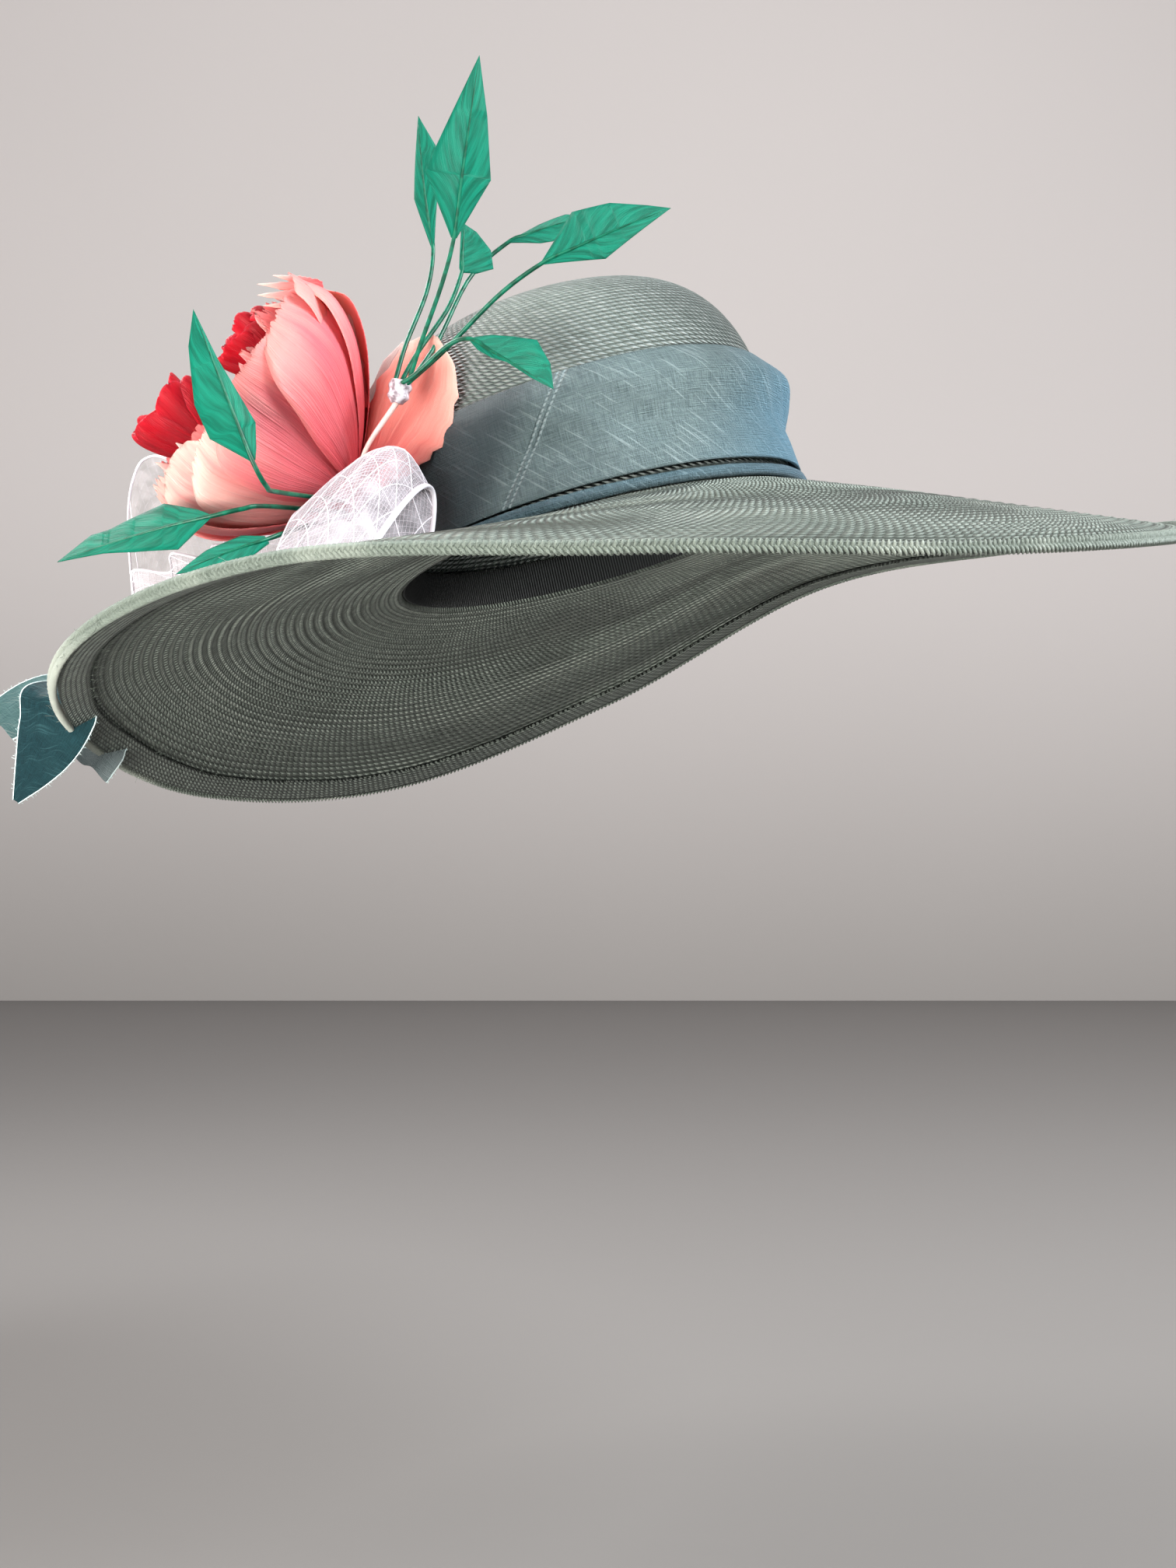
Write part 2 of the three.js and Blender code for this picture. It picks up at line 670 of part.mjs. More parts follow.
function quillWrap() {
  const half = WRAP_LENGTH / 2;
  const middle = wrapFoot.clone().addScaledVector(wrapAxis, half);
  const profile = [
    [0, -half],
    [WRAP_RADIUS * 0.6, -half],
    [WRAP_RADIUS, -half / 3],
    [WRAP_RADIUS, half],
    [0, half],
  ].map(([radius, along]) => new THREE.Vector2(radius, along));
  const solid = new THREE.LatheGeometry(profile, 8);
  const lean = new THREE.Quaternion().setFromUnitVectors(point(0, 1, 0), wrapAxis);
  solid.applyMatrix4(new THREE.Matrix4().compose(middle, lean, point(1, 1, 1)));
  return tidied(solid);
}
add('quill_wrap', quillWrap(), clearWrap);

// Lower feathers leave from beside the calyx and pass under the peony's petals
LOWER_LEAVES.forEach((row, i) => {
  const foot = besideCalyx(row.turn, -0.15 - 0.25 * i, GAP);
  const start = inPeony(row.rise, 0.9, row.turn).sub(foot).normalize();
  add(row.name, leaf(row, foot, start), leafGreen);
});

// Bare quill below the wrap; it runs down beside the side petals to the peony's stalk
const quillEnd = besideCalyx(272, -0.3, GAP);
const quillTop = wrapFoot.clone().addScaledVector(wrapAxis, -GAP - QUILL_RADIUS / 2);
const quillBow = quillTop.clone().lerp(quillEnd, 0.5).add(point(-WRAP_RADIUS, 0, 0));
add('bare_quill', tube([quillTop, quillBow, quillEnd], QUILL_RADIUS, 5, 5), clearWrap);

// Veil loop in front of the peony: an arch that stands on the brim and widens from its pinch
const LOOP_HEIGHTS = [0.4, 0.68, 0.88, 1, 1];
function veilLoop() {
  const grid = LOOP_HEIGHTS.map((height, i) => {
    const along = i / (LOOP_HEIGHTS.length - 1);
    const front = overBrim(lerp(198, 208, along), lerp(0.46, 0.35, along), onBrim);
    const back = overBrim(lerp(195.5, 198, along), lerp(0.4, 0.14, along), onBrim);
    const ridge = front.clone().lerp(back, 0.5).add(point(0, 0, height * VEIL_LOOP_HEIGHT));
    const control = ridge.clone().multiplyScalar(2).sub(front.clone().lerp(back, 0.5));
    return new THREE.QuadraticBezierCurve3(front, control, back).getPoints(6);
  });
  return sheet(grid, VEIL_THICKNESS);
}

// Pleated fan of veil that stands on the brim from the loop's pinch towards the back
const FAN_HEIGHTS = [0.7, 0.8, 0.66, 0.9, 0.76, 1, 0.8, 1, 0.7];
function veilFan() {
  const grid = FAN_HEIGHTS.map((height, i) => {
    const along = i / (FAN_HEIGHTS.length - 1);
    const pleat = i % 2 ? 0.02 : -0.02;
    const angle = lerp(182, 168, along);
    const share = lerp(0.42, 0.8, along) + pleat;
    return [0, 0.5, 1].map((up) => (
      overBrim(angle, share - 0.02 * up, onBrim + up * height * VEIL_FAN_HEIGHT)
    ));
  });
  return sheet(grid, VEIL_THICKNESS);
}

// Tall fin of veil behind the peony, arched along its corded edge
const FIN_HEIGHTS = [0.12, 0.72, 0.95, 1, 0.95, 0.8, 0.5];
function veilFin() {
  const grid = FIN_HEIGHTS.map((height, i) => {
    const along = i / (FIN_HEIGHTS.length - 1);
    const angle = lerp(151, 146, along);
    const share = lerp(0.7, 0.38, along);
    return [0, 0.5, 1].map((up) => (
      overBrim(angle, share + 0.08 * up, onBrim + up * height * VEIL_FIN_HEIGHT)
    ));
  });
  return sheet(grid, VEIL_THICKNESS);
}

add('veil_loop', veilLoop(), veilWhite);
add('veil_fan', veilFan(), veilWhite);
add('veil_fin', veilFin(), veilWhite);

// Teal sash: a plain rolled knot behind the crown and three tails that lie over the brim
const KNOT_ANGLE = 126;
const KNOT_SIDES = 8;
const knotFlat = KNOT_RADIUS * Math.cos(Math.PI / KNOT_SIDES);
const knotInside = bandInside + ROLL_DIAMETER + GAP;
function besideKnot(offset, height) {
  const place = ovalPoint(KNOT_ANGLE, knotInside + offset, 0);
  const reach = rimPoint(KNOT_ANGLE).setZ(0).distanceTo(ovalPoint(KNOT_ANGLE, collarMiddle, 0));
  place.z = overBrim(KNOT_ANGLE, (knotInside + offset - collarMiddle) / reach, height).z;
  return place;
}

function sashKnot() {
  const solid = new THREE.CylinderGeometry(KNOT_RADIUS, KNOT_RADIUS, KNOT_HEIGHT, KNOT_SIDES);
  solid.rotateX(Math.PI / 2);
  solid.rotateZ(radians(KNOT_ANGLE) + Math.PI / KNOT_SIDES);
  const { x, y } = besideKnot(knotFlat, 0);
  const { z } = besideKnot(0, straightUp + KNOT_HEIGHT / 2);
  solid.translate(x, y, z);
  return tidied(solid);
}

// Stations of each tail from knot to tip; "lift" is its height above the brim's own slope and
// "width" its share of TAIL_WIDTH
const LONG_TAIL = [
  { angle: 136, share: 0.5, lift: 6, width: 0.8 },
  { angle: 146, share: 0.85, lift: 16, width: 1 },
  { angle: 151, share: 1.02, lift: 16, width: 1 },
  { angle: 150, share: 1.1, lift: 4, width: 0.9 },
  { angle: 148, share: 1.19, lift: -10, width: 0.6 },
  { angle: 146.5, share: 1.27, lift: -24, width: 0.12 },
];
const SHORT_TAIL = [
  { angle: 130, share: 0.5, lift: 18, width: 0.5 },
  { angle: 137, share: 0.85, lift: 27, width: 0.7 },
  { angle: 140.5, share: 1.05, lift: 28, width: 0.75 },
  { angle: 141, share: 1.2, lift: 18, width: 0.6 },
];
const INNER_TAIL = [
  { angle: 124, share: 0.55, lift: 5, width: 0.6 },
  { angle: 132, share: 0.88, lift: 8, width: 0.8 },
  { angle: 136, share: 1.05, lift: 8, width: 0.8 },
  { angle: 137, share: 1.1, lift: -8, width: 0.6 },
];
function sashTail(stations, footHeight) {
  const foot = besideKnot(2 * knotFlat + SILK_THICKNESS / 2, footHeight);
  const middle = [foot, ...stations.map(({ angle, share, lift }) => overBrim(angle, share, lift))];
  const spans = [{ angle: KNOT_ANGLE, width: 0.3 }, ...stations];
  const grid = spans.map(({ angle, width }, i) => {
    const side = point(-Math.sin(radians(angle)), Math.cos(radians(angle)), 0);
    return [-1, -0.4, 0.4, 1].map((across) => {
      const droop = point(0, 0, -0.06 * TAIL_WIDTH * across * across);
      return middle[i].clone().addScaledVector(side, (across * width * TAIL_WIDTH) / 2).add(droop);
    });
  });
  return sheet(grid, SILK_THICKNESS);
}

add('sash_knot', sashKnot(), tealSilk);
add('sash_tail_long', sashTail(LONG_TAIL, KNOT_HEIGHT * 0.6), tealSilk);
add('sash_tail_short', sashTail(SHORT_TAIL, KNOT_HEIGHT * 0.9), tealSilk);
add('sash_tail_inner', sashTail(INNER_TAIL, KNOT_HEIGHT * 0.35), tealSilk);

hat.rotation.set(radians(-TIP_BACK), radians(-LEAN_RIGHT), 0, 'YXZ');

export default hat;
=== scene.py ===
# %% [markdown]
# # A wide straw dress hat with a feather peony
# The hat is worn tipped back and leaning to the wearer's right, as it is on the photograph. The CAD
# model fixes every size and place. Each cell makes one piece or one finish of the real hat: straw
# crown and brim, plaited edge, silk band, feathers, veil and sash. The frame is loaded first.

# %% Load the imported frame
import math
import random

import bpy
from mathutils import Matrix, Vector, noise


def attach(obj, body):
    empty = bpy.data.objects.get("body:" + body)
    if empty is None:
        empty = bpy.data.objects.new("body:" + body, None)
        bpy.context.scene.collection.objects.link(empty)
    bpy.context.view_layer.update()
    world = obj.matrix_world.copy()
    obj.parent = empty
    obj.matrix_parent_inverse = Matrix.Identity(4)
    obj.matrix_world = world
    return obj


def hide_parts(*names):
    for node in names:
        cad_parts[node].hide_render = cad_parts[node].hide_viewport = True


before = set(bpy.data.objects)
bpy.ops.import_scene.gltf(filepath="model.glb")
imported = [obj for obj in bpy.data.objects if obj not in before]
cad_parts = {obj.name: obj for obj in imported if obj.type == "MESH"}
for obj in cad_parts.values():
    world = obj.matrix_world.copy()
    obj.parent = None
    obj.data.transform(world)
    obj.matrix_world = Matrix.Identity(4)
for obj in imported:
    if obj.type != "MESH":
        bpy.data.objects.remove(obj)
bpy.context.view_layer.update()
print("CAD nodes:", len(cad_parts))

# %% [markdown]
# ## Camera
# The photograph was taken level with the hat, from in front and a little to the wearer's right.
# A camera object could be aimed with a constraint, but a fixed place and turn keep the view exact.

# %% Camera
bpy.ops.object.camera_add(
    location=(-0.5168, -0.8910, -0.1041), rotation=(math.radians(90), 0, math.radians(-30)))
camera = bpy.context.object
camera.data.lens = 54
camera.data.sensor_width = 36
bpy.context.scene.camera = camera
print("camera", [round(x, 3) for x in camera.location])

# %% [markdown]
# ## The hat's own frame
# It is easiest to draw the hat upright, in millimetres, with its origin in the middle of the head
# opening, and to tip every finished mesh into place at the end. These numbers are the hat's own
# dimensions, and the few helpers give points of the head's oval, the crown and the brim.

# %% Sizes in millimetres
HEAD_HALF_LENGTH = 97.8
HEAD_HALF_WIDTH = 81.3
STRAW = 1.6
GAP = 0.3
COLLAR = 1.9
CROWN_MIDDLE = 3.8
BAND_INSIDE = 4.9
CROWN_HEIGHT = 105.5
CROWN_UPRIGHT = 25.5
CROWN_TAPER = 0.983
CROWN_SIDE_POWER = 4.07
CROWN_TOP_POWER = 2.3
BRIM_REACH_FRONT = 152
BRIM_REACH_SIDE = 154.5
BRIM_DROP = 74
BRIM_SAG = 0.15
COLLAR_HEIGHT = 17
HEM_WIDTH = 14
ROLL_DIAMETER = 5
BAND_TOP = 54
RING_PITCH = 4.7
BAND_PUFF = 7.5
PEONY_RADIUS = 62
RIM_DROP_SHARES = [0.35, 0.1, 0.49, 0.77, 0.64, 0.28, 0.12, 0.21, 0.64, 0.96, 0.96, 0.68]

worn = Matrix.Rotation(math.radians(-9.3), 4, "Y") @ Matrix.Rotation(math.radians(-11), 4, "X")
to_frame = worn @ Matrix.Scale(0.001, 4)
chance = random.Random(7)


def scatter(reach):
    """A small push in any direction."""
    return Vector([chance.uniform(-reach, reach) for _ in range(3)])


# %% [markdown]
# A shape that is measured at a few places still has to run smoothly between them. A curve object
# could do it, but a function of a share between 0 and 1 also serves for widths, heights and folds.

# %% Curves through a few values
def mix(a, b, share):
    return a + (b - a) * share


def smooth(low, high, value):
    share = min(max((value - low) / (high - low), 0), 1)
    return share * share * (3 - 2 * share)


def through(values, share, closed=False):
    """A value or point on the smooth curve through evenly spaced ones."""
    count = len(values)
    spans = count if closed else count - 1
    place = min(max(share, 0), 1) * spans if not closed else (share % 1) * spans
    start = min(int(place), spans - 1)
    t = place - start
    if closed:
        a, b, c, d = (values[(start + i) % count] for i in (-1, 0, 1, 2))
    else:
        b, c = values[start], values[start + 1]
        a = values[start - 1] if start else b * 2 - c
        d = values[start + 2] if start + 2 < count else c * 2 - b
    return 0.5 * (b * 2 + (c - a) * t + (a * 2 - b * 5 + c * 4 - d) * t**2 + (b * 3 - a - c * 3 + d) * t**3)


# %% [markdown]
# The head opening is an oval, the rim is a wider one that rises and dips, and the brim spans the
# two. All the trimming stands on crown or brim, so these few functions place every later piece.

# %% Points of the hat
def oval(angle, offset, z):
    turn = math.radians(angle)
    half_width = HEAD_HALF_WIDTH + offset
    half_length = HEAD_HALF_LENGTH + offset
    return Vector((half_width * math.cos(turn), half_length * math.sin(turn), z))


def rim(angle):
    turn = math.radians(angle)
    x = (HEAD_HALF_WIDTH + BRIM_REACH_SIDE) * math.cos(turn)
    y = (HEAD_HALF_LENGTH + BRIM_REACH_FRONT) * math.sin(turn)
    return Vector((x, y, -BRIM_DROP * through(RIM_DROP_SHARES, angle / 360, closed=True)))


def brim_point(angle, share, height=0):
    """Middle of the brim's straw, from the collar at 0 to the rim at 1, raised by a height."""
    edge = rim(angle)
    collar = oval(angle, COLLAR, 0)
    place = collar + (edge - collar) * share
    fall = 1 if share > 1 else share - BRIM_SAG * share * (1 - share)
    place.z = edge.z * fall - STRAW / 2 + height
    return place


def crown_share(z):
    if z <= CROWN_UPRIGHT:
        return mix(1, CROWN_TAPER, z / CROWN_UPRIGHT)
    rise = min((z - CROWN_UPRIGHT) / (CROWN_HEIGHT - STRAW / 2 - CROWN_UPRIGHT), 1)
    return CROWN_TAPER * (1 - rise**CROWN_TOP_POWER) ** (1 / CROWN_SIDE_POWER)


def wall(angle, offset, z):
    """A point of an upright wall that narrows upwards as the crown does."""
    place = oval(angle, offset, 0) * crown_share(max(z, 0))
    place.z = z
    return place


def by_crown(across, along, up):
    return Vector((across * 85.9, along * 102.4, up * CROWN_HEIGHT))


def outward(place):
    return Vector((place.x, place.y, 0)).normalized()


print("rim at the front hangs", round(-rim(270).z, 1), "mm")

# %% [markdown]
# ## Making and finishing a piece
# Cloth, straw and feathers are all thin sheets. Each one starts as a grid primitive, and its points
# are then set on the real thing's curve, which keeps a clean UV map for weave and barbs. Solidify
# gives it its thickness. The last helper tips the finished mesh into the frame, gives it its
# material, ties it to the hat's root and hides the CAD nodes that it stands for.


# %% Sheets and rods
def surface(name, across, along, place, size=(1, 1), closed=False):
    bpy.ops.object.select_all(action="DESELECT")
    bpy.ops.mesh.primitive_grid_add(x_subdivisions=across, y_subdivisions=along, size=1)
    piece = bpy.context.object
    piece.name = name
    for point in piece.data.vertices:
        point.co = place(point.co.x + 0.5, point.co.y + 0.5)
    for corner in piece.data.uv_layers[0].data:
        corner.uv = (corner.uv[0] * size[0], corner.uv[1] * size[1])
    if closed:
        merge(piece)
    return piece


def merge(piece):
    bpy.context.view_layer.objects.active = piece
    bpy.ops.object.mode_set(mode="EDIT")
    bpy.ops.mesh.select_all(action="SELECT")
    bpy.ops.mesh.remove_doubles(threshold=0.001)
    bpy.ops.object.mode_set(mode="OBJECT")


def modify(piece, kind, **settings):
    bpy.context.view_layer.objects.active = piece
    modifier = piece.modifiers.new(kind.title(), kind)
    for name, value in settings.items():
        setattr(modifier, name, value)
    bpy.ops.object.modifier_apply(modifier=modifier.name)
    return piece


def thicken(piece, thickness):
    return modify(piece, "SOLIDIFY", thickness=thickness, offset=0, use_even_offset=False)


def frames(route):
    """Two directions square to a route at each of its points, turning as little as they can."""
    rows = []
    side = None
    for i, place in enumerate(route):
        ahead = (route[min(i + 1, len(route) - 1)] - route[max(i - 1, 0)]).normalized()
        if side is None:
            side = ahead.orthogonal()
        side = (side - ahead * side.dot(ahead)).normalized()
        rows.append((side, ahead.cross(side)))
    return rows


def rod(name, route, radius, sides=8, count=None, flat=1):
    """A closed tube along a smooth route; radius is a number, or a function of how far along it is."""
    count = count or 8 * len(route)
    line = [through(route, i / count) for i in range(count + 1)]
    turned = frames(line)
    width = radius if callable(radius) else lambda share: radius

    def place(x, y):
        i = round(y * (count + 2)) - 1
        end = i < 0 or i > count
        i = min(max(i, 0), count)
        turn = 2 * math.pi * x
        side, up = turned[i]
        reach = 0 if end else width(i / count)
        return line[i] + (side * math.cos(turn) + up * math.sin(turn) * flat) * reach

    return surface(name, sides, count + 2, place, (1, 1), closed=True)


def join(name, parts):
    bpy.ops.object.select_all(action="DESELECT")
    for part in parts:
        part.select_set(True)
    bpy.context.view_layer.objects.active = parts[0]
    if len(parts) > 1:
        bpy.ops.object.join()
    parts[0].name = name
    return parts[0]


# %% [markdown]
# Each finished mesh is tipped as the hat is worn, gets its one material and is tied to the hat's
# root, and the CAD nodes that it stands for are hidden. One helper does it for all, so that no piece
# can be forgotten.

# %% Handing a piece to the frame
def hand_over(piece, finish, slot, *nodes):
    piece.data.transform(to_frame)
    piece.data.materials.clear()
    piece.data.materials.append(finish)
    for face in piece.data.polygons:
        face.use_smooth = True
        face.material_index = 0
    piece.data.update()
    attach(piece, "root")
    if nodes:
        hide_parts(*nodes)
    print(piece.name, len(piece.data.polygons), "faces")
    return piece


# %% [markdown]
# ## Mixing materials
# A material is a small network of nodes. Written node by node it is long and hard to read, so one
# class wraps an output socket and lets ordinary sums add the Math nodes, and one method adds any
# other node. Every pattern reads the piece's own UV map, which is in millimetres on straw and silk.


# %% A socket that can be added and multiplied
def math_step(operation, turned=False):
    """A method that adds one Math node; turned puts its own socket last."""
    def step(self, *others):
        given = (*others, self) if turned else (self, *others)
        return self.mixture.add("Math", dict(enumerate(given)), operation=operation)

    return step


class Value:
    def __init__(self, mixture, socket):
        self.mixture = mixture
        self.socket = socket

    __add__ = math_step("ADD")
    __radd__ = math_step("ADD", turned=True)
    __sub__ = math_step("SUBTRACT")
    __rsub__ = math_step("SUBTRACT", turned=True)
    __mul__ = math_step("MULTIPLY")
    __rmul__ = math_step("MULTIPLY", turned=True)
    __truediv__ = math_step("DIVIDE")
    __pow__ = math_step("POWER")
    absolute = math_step("ABSOLUTE")
    fraction = math_step("FRACT")
    whole = math_step("FLOOR")
    wave = math_step("SINE")
    larger = math_step("MAXIMUM")

    def between(self, low, high):
        """0 below low, 1 above high, and smooth between them."""
        return self.mixture.add(
            "MapRange", {"Value": self, "From Min": low, "From Max": high}, interpolation_type="SMOOTHSTEP")


# %% [markdown]
# A mixture collects the nodes of one material. It also makes the bump and the last shader, and it
# has a short form for a mottled finish that needs no more than one noise in Object coordinates.

# %% A material under construction
class Mixture:
    def __init__(self, name):
        self.material = bpy.data.materials.new(name)
        self.material.use_nodes = True
        self.tree = self.material.node_tree
        self.tree.nodes.clear()

    def add(self, kind, values=None, output=0, **settings):
        node = self.tree.nodes.new("ShaderNode" + kind)
        for name, setting in settings.items():
            setattr(node, name, setting)
        for name, value in (values or {}).items():
            socket = node.inputs[name]
            if isinstance(value, Value):
                self.tree.links.new(value.socket, socket)
            elif isinstance(value, tuple) and len(socket.default_value) == 4:
                socket.default_value = (*value, 1)
            else:
                socket.default_value = value
        return Value(self, node.outputs[output])

    def place(self):
        """The UV map as two values: across the piece and along it."""
        split = self.add("SeparateXYZ", {0: self.add("TexCoord", output="UV")})
        return split, Value(self, split.socket.node.outputs[1])

    def noise(self, x, y, detail=2, rough=0.5, z=0):
        vector = self.add("CombineXYZ", {0: x, 1: y, 2: z})
        return self.add("TexNoise", {"Vector": vector, "Scale": 1, "Detail": detail, "Roughness": rough})

    def blend(self, share, first, second):
        return self.add("Mix", {0: share, 6: first, 7: second}, output=2, data_type="RGBA")

    def finish(self, height=None, depth=0.001, strength=1, **sockets):
        values = {name.replace("_", " "): value for name, value in sockets.items()}
        if height is not None:
            values["Normal"] = self.add("Bump", {"Height": height, "Distance": depth, "Strength": strength})
        shader = self.add("BsdfPrincipled", values)
        node = self.tree.nodes.new("ShaderNodeOutputMaterial")
        self.tree.links.new(shader.socket, node.inputs["Surface"])
        return self.material


def mottled(name, first, second, scale, depth, strength, sharp=False, detail=2, sheer=None, **sockets):
    mixture = Mixture(name)
    spot = mixture.add("TexCoord", output="Object")
    patch = mixture.add("TexNoise", {"Vector": spot, "Scale": scale, "Detail": detail})
    tone = mixture.blend(patch.between(0.35, 0.65) if sharp else patch, first, second)
    if sheer:
        sockets["Alpha"] = (patch - 0.5) * 0.5 + sheer
    return mixture.finish(patch, depth, strength, Base_Color=tone, **sockets)


# %% [markdown]
# ## Studio
# The real hat stood in front of a plain pale wall in soft window light from its left. Three large
# area lights give that: a bright cool one from the right of the picture, a weak one in front, and
# one behind that draws the pale line along the brim's far edge.

# %% Wall and floor
def plaster(name, low, high):
    mixture = Mixture(name)
    spot = mixture.add("TexCoord", output="Object")
    grain = mixture.add("TexNoise", {"Vector": spot, "Scale": 45, "Detail": 4})
    patch = mixture.add("TexNoise", {"Vector": spot, "Scale": 1.2, "Detail": 2})
    height = mixture.add("SeparateXYZ", {0: spot}, output=1)
    # Painted shade: the wall darkens from the high colour to the low one towards its foot, near the floor,
    # with a weak random patch mixed in. The flat floor has one height everywhere, so its tone stays even.
    tone = mixture.blend(height.between(-0.6, 0.4) * 0.9 + patch * 0.1, low, high)
    return mixture.finish(grain, 0.0008, 0.25, Base_Color=tone, Roughness=0.9)


wall_finish = plaster("pale_plaster", (0.3, 0.28, 0.265), (0.66, 0.61, 0.59))
floor_finish = plaster("floor_plaster", (0.15, 0.14, 0.132), (0.2, 0.187, 0.178))
ahead = Vector((0.5, 0.866, 0))
sideways = Vector((0.866, -0.5, 0))
bpy.ops.mesh.primitive_plane_add(size=8, location=(0, 0, -0.42))
floor = bpy.context.object
floor.name = "floor"
bpy.ops.mesh.primitive_plane_add(
    size=8, location=ahead * 2.4, rotation=(math.radians(90), 0, math.radians(-30)))
backdrop = bpy.context.object
backdrop.name = "backdrop"
for piece, finish in ((floor, floor_finish), (backdrop, wall_finish)):
    piece.data.materials.append(finish)


# %% [markdown]
# A window is a large soft light, so area lights are used and not point lights, whose shadows would
# be hard. A weak one from below stands for light that comes back from the table.

# %% Lights
def lamp(name, direction, distance, size, power, colour):
    place = Vector(direction).normalized() * distance
    turn = (-place).to_track_quat("-Z", "Y").to_euler()
    bpy.ops.object.light_add(type="AREA", location=place, rotation=turn)
    light = bpy.context.object
    light.name = name
    light.data.size = size
    light.data.energy = power
    light.data.color = colour
    return light


lamp("window", sideways * 0.9 - ahead * 0.35 + Vector((0, 0, 0.75)), 1.9, 1.1, 84, (0.93, 0.97, 1.0))
lamp("room", -ahead - sideways * 0.5 + Vector((0, 0, 0.25)), 2.2, 1.8, 26, (1.0, 0.97, 0.94))
lamp("low", -ahead * 0.8 - sideways * 0.55 - Vector((0, 0, 0.3)), 1.15, 0.7, 32, (1.0, 0.98, 0.93))
lamp("behind", ahead * 0.55 - sideways * 0.75 + Vector((0, 0, 0.8)), 1.1, 0.5, 10, (1.0, 1.0, 1.0))
world = bpy.data.worlds.new("room")
world.use_nodes = True
world.node_tree.nodes["Background"].inputs[0].default_value = (0.83, 0.82, 0.84, 1)
world.node_tree.nodes["Background"].inputs[1].default_value = 0.56
bpy.context.scene.world = world
bpy.context.scene.view_settings.view_transform = "Standard"

# %% [markdown]
# ## Straw finishes
# The straw is a fine weave of dyed splints, laid in rows that run round the hat. Each row shows
# short slanted dashes, with a painted highlight where a splint lies on top and painted shade where
# it dips under, over the splints' own tones. The pattern is worked out from the UV map in
# millimetres, with a little noise for splints that differ.


# %% Woven straw
def woven_straw(name, dark_and_dip_shade, body, pale, row=2.1, dash=3.9, slant=0.8, gloss=0.5, ridge=0):
    mixture = Mixture(name)
    x, y = mixture.place()
    wander = (mixture.noise(x * 0.05, y * 0.05, 2) - 0.5) * 0.8
    rows = (y + wander) / row
    number = rows.whole()
    across = rows.fraction()
    along = (x / dash + number * 0.37 + across * slant).fraction()
    weave_bump_and_shading = ((across * math.pi).wave() * (along * math.pi).wave()) ** 0.6
    splint = mixture.noise((x / dash + number * 0.37 + across * slant).whole() * 1.37, number * 2.11, 0)
    patch = mixture.noise(x * 0.013, y * 0.02, 3)
    fine = mixture.noise(x * 1.1, y * 2.2, 2)
    # The tone follows the weave's bump as well as each splint's own tone: painted shade in the dips where a
    # splint goes under, and a painted highlight on the tops where it lies over.
    level = weave_bump_and_shading * 0.75 + splint * 0.55 - 0.28 + (fine - 0.5) * 0.3
    if ridge:
        # Painted light and shade along the brim's rings: the wave that raises them also lightens and darkens
        # the tone.
        ring_bump_and_shading = (y * (2 * math.pi / ridge) + (patch - 0.5) * 5).wave()
        level = level + ring_bump_and_shading * 0.22
        weave_bump_and_shading = weave_bump_and_shading + ring_bump_and_shading * 0.5
    # The dark colour is the splints' dark tone plus painted shade; the pale colour is their pale tone plus a
    # painted highlight.
    tone = mixture.blend(level.between(0.05, 0.5), dark_and_dip_shade, body)
    tone = mixture.blend(level.between(0.45, 0.95) * (0.45 + patch * 0.8), tone, pale)
    return mixture.finish(weave_bump_and_shading, 0.45, 0.9, Base_Color=tone, Roughness=gloss)


crown_straw = woven_straw("crown_straw", (0.2, 0.25, 0.22), (0.42, 0.5, 0.47), (0.9, 0.96, 0.93))
brim_straw = woven_straw(
    "brim_straw", (0.15, 0.18, 0.15), (0.33, 0.39, 0.34), (0.66, 0.73, 0.64), row=2.3, dash=3.2, gloss=0.6,
    ridge=RING_PITCH)
hem_straw = woven_straw(
    "hem_straw", (0.14, 0.16, 0.14), (0.29, 0.34, 0.3), (0.58, 0.65, 0.57), row=2.2, dash=3, gloss=0.6)


# %% [markdown]
# The plait's strands are bundles of a few splints. Long fine noise along each strand shows them,
# and a painted highlight lies on the stretch of rim at the far left, where the back light catches it.
# The loose fibres share the finish.

# %% Plaited straw and loose fibres
def plaited_straw():
    mixture = Mixture("plaited_straw")
    x, y = mixture.place()
    fibre = mixture.noise(x * 14, y * 0.4, 3)
    patch = mixture.noise(y * 0.02, y * 0, 2)
    tone = mixture.blend(fibre.between(0.3, 0.7), (0.15, 0.19, 0.15), (0.42, 0.48, 0.42))
    # Painted highlight: between about 540 and 800 mm along the rim, on its far left stretch, the plait is
    # lightened towards the pale colour. Elsewhere the pale colour marks only random patches of straw.
    bright = y.between(540, 640) * (1 - y.between(730, 800)) * 0.75
    tone = mixture.blend(patch.between(0.5, 0.7) * 0.35 + bright, tone, (0.75, 0.8, 0.7))
    return mixture.finish(fibre, 0.15, 0.6, Base_Color=tone, Roughness=0.42)


edge_straw = plaited_straw()

# %% [markdown]
# ## Crown
# The crown is one blocked hood: upright at its foot, rounded at the shoulder, and almost flat on
# top. Spinning a profile would make a round crown, but a head is oval, so a grid is laid round the
# oval instead. The rows are spaced evenly along the profile to keep the weave even.


# %% Evenly spaced places along a line
def evenly(line):
    lengths = [0]
    for a, b in zip(line, line[1:]):
        lengths.append(lengths[-1] + (b - a).length)

    def at(share):
        want = share * lengths[-1]
        i = max(1, next((n for n, length in enumerate(lengths) if length >= want), len(lengths) - 1))
        part = (want - lengths[i - 1]) / max(lengths[i] - lengths[i - 1], 1e-9)
        return line[i - 1].lerp(line[i], part)

    return at, lengths[-1]


# %% [markdown]
# The real hood is steamed over a wooden block. Sculpting could give the same dome, but not its
# measured profile, so the grid follows the profile, with a little unevenness from the blocking.

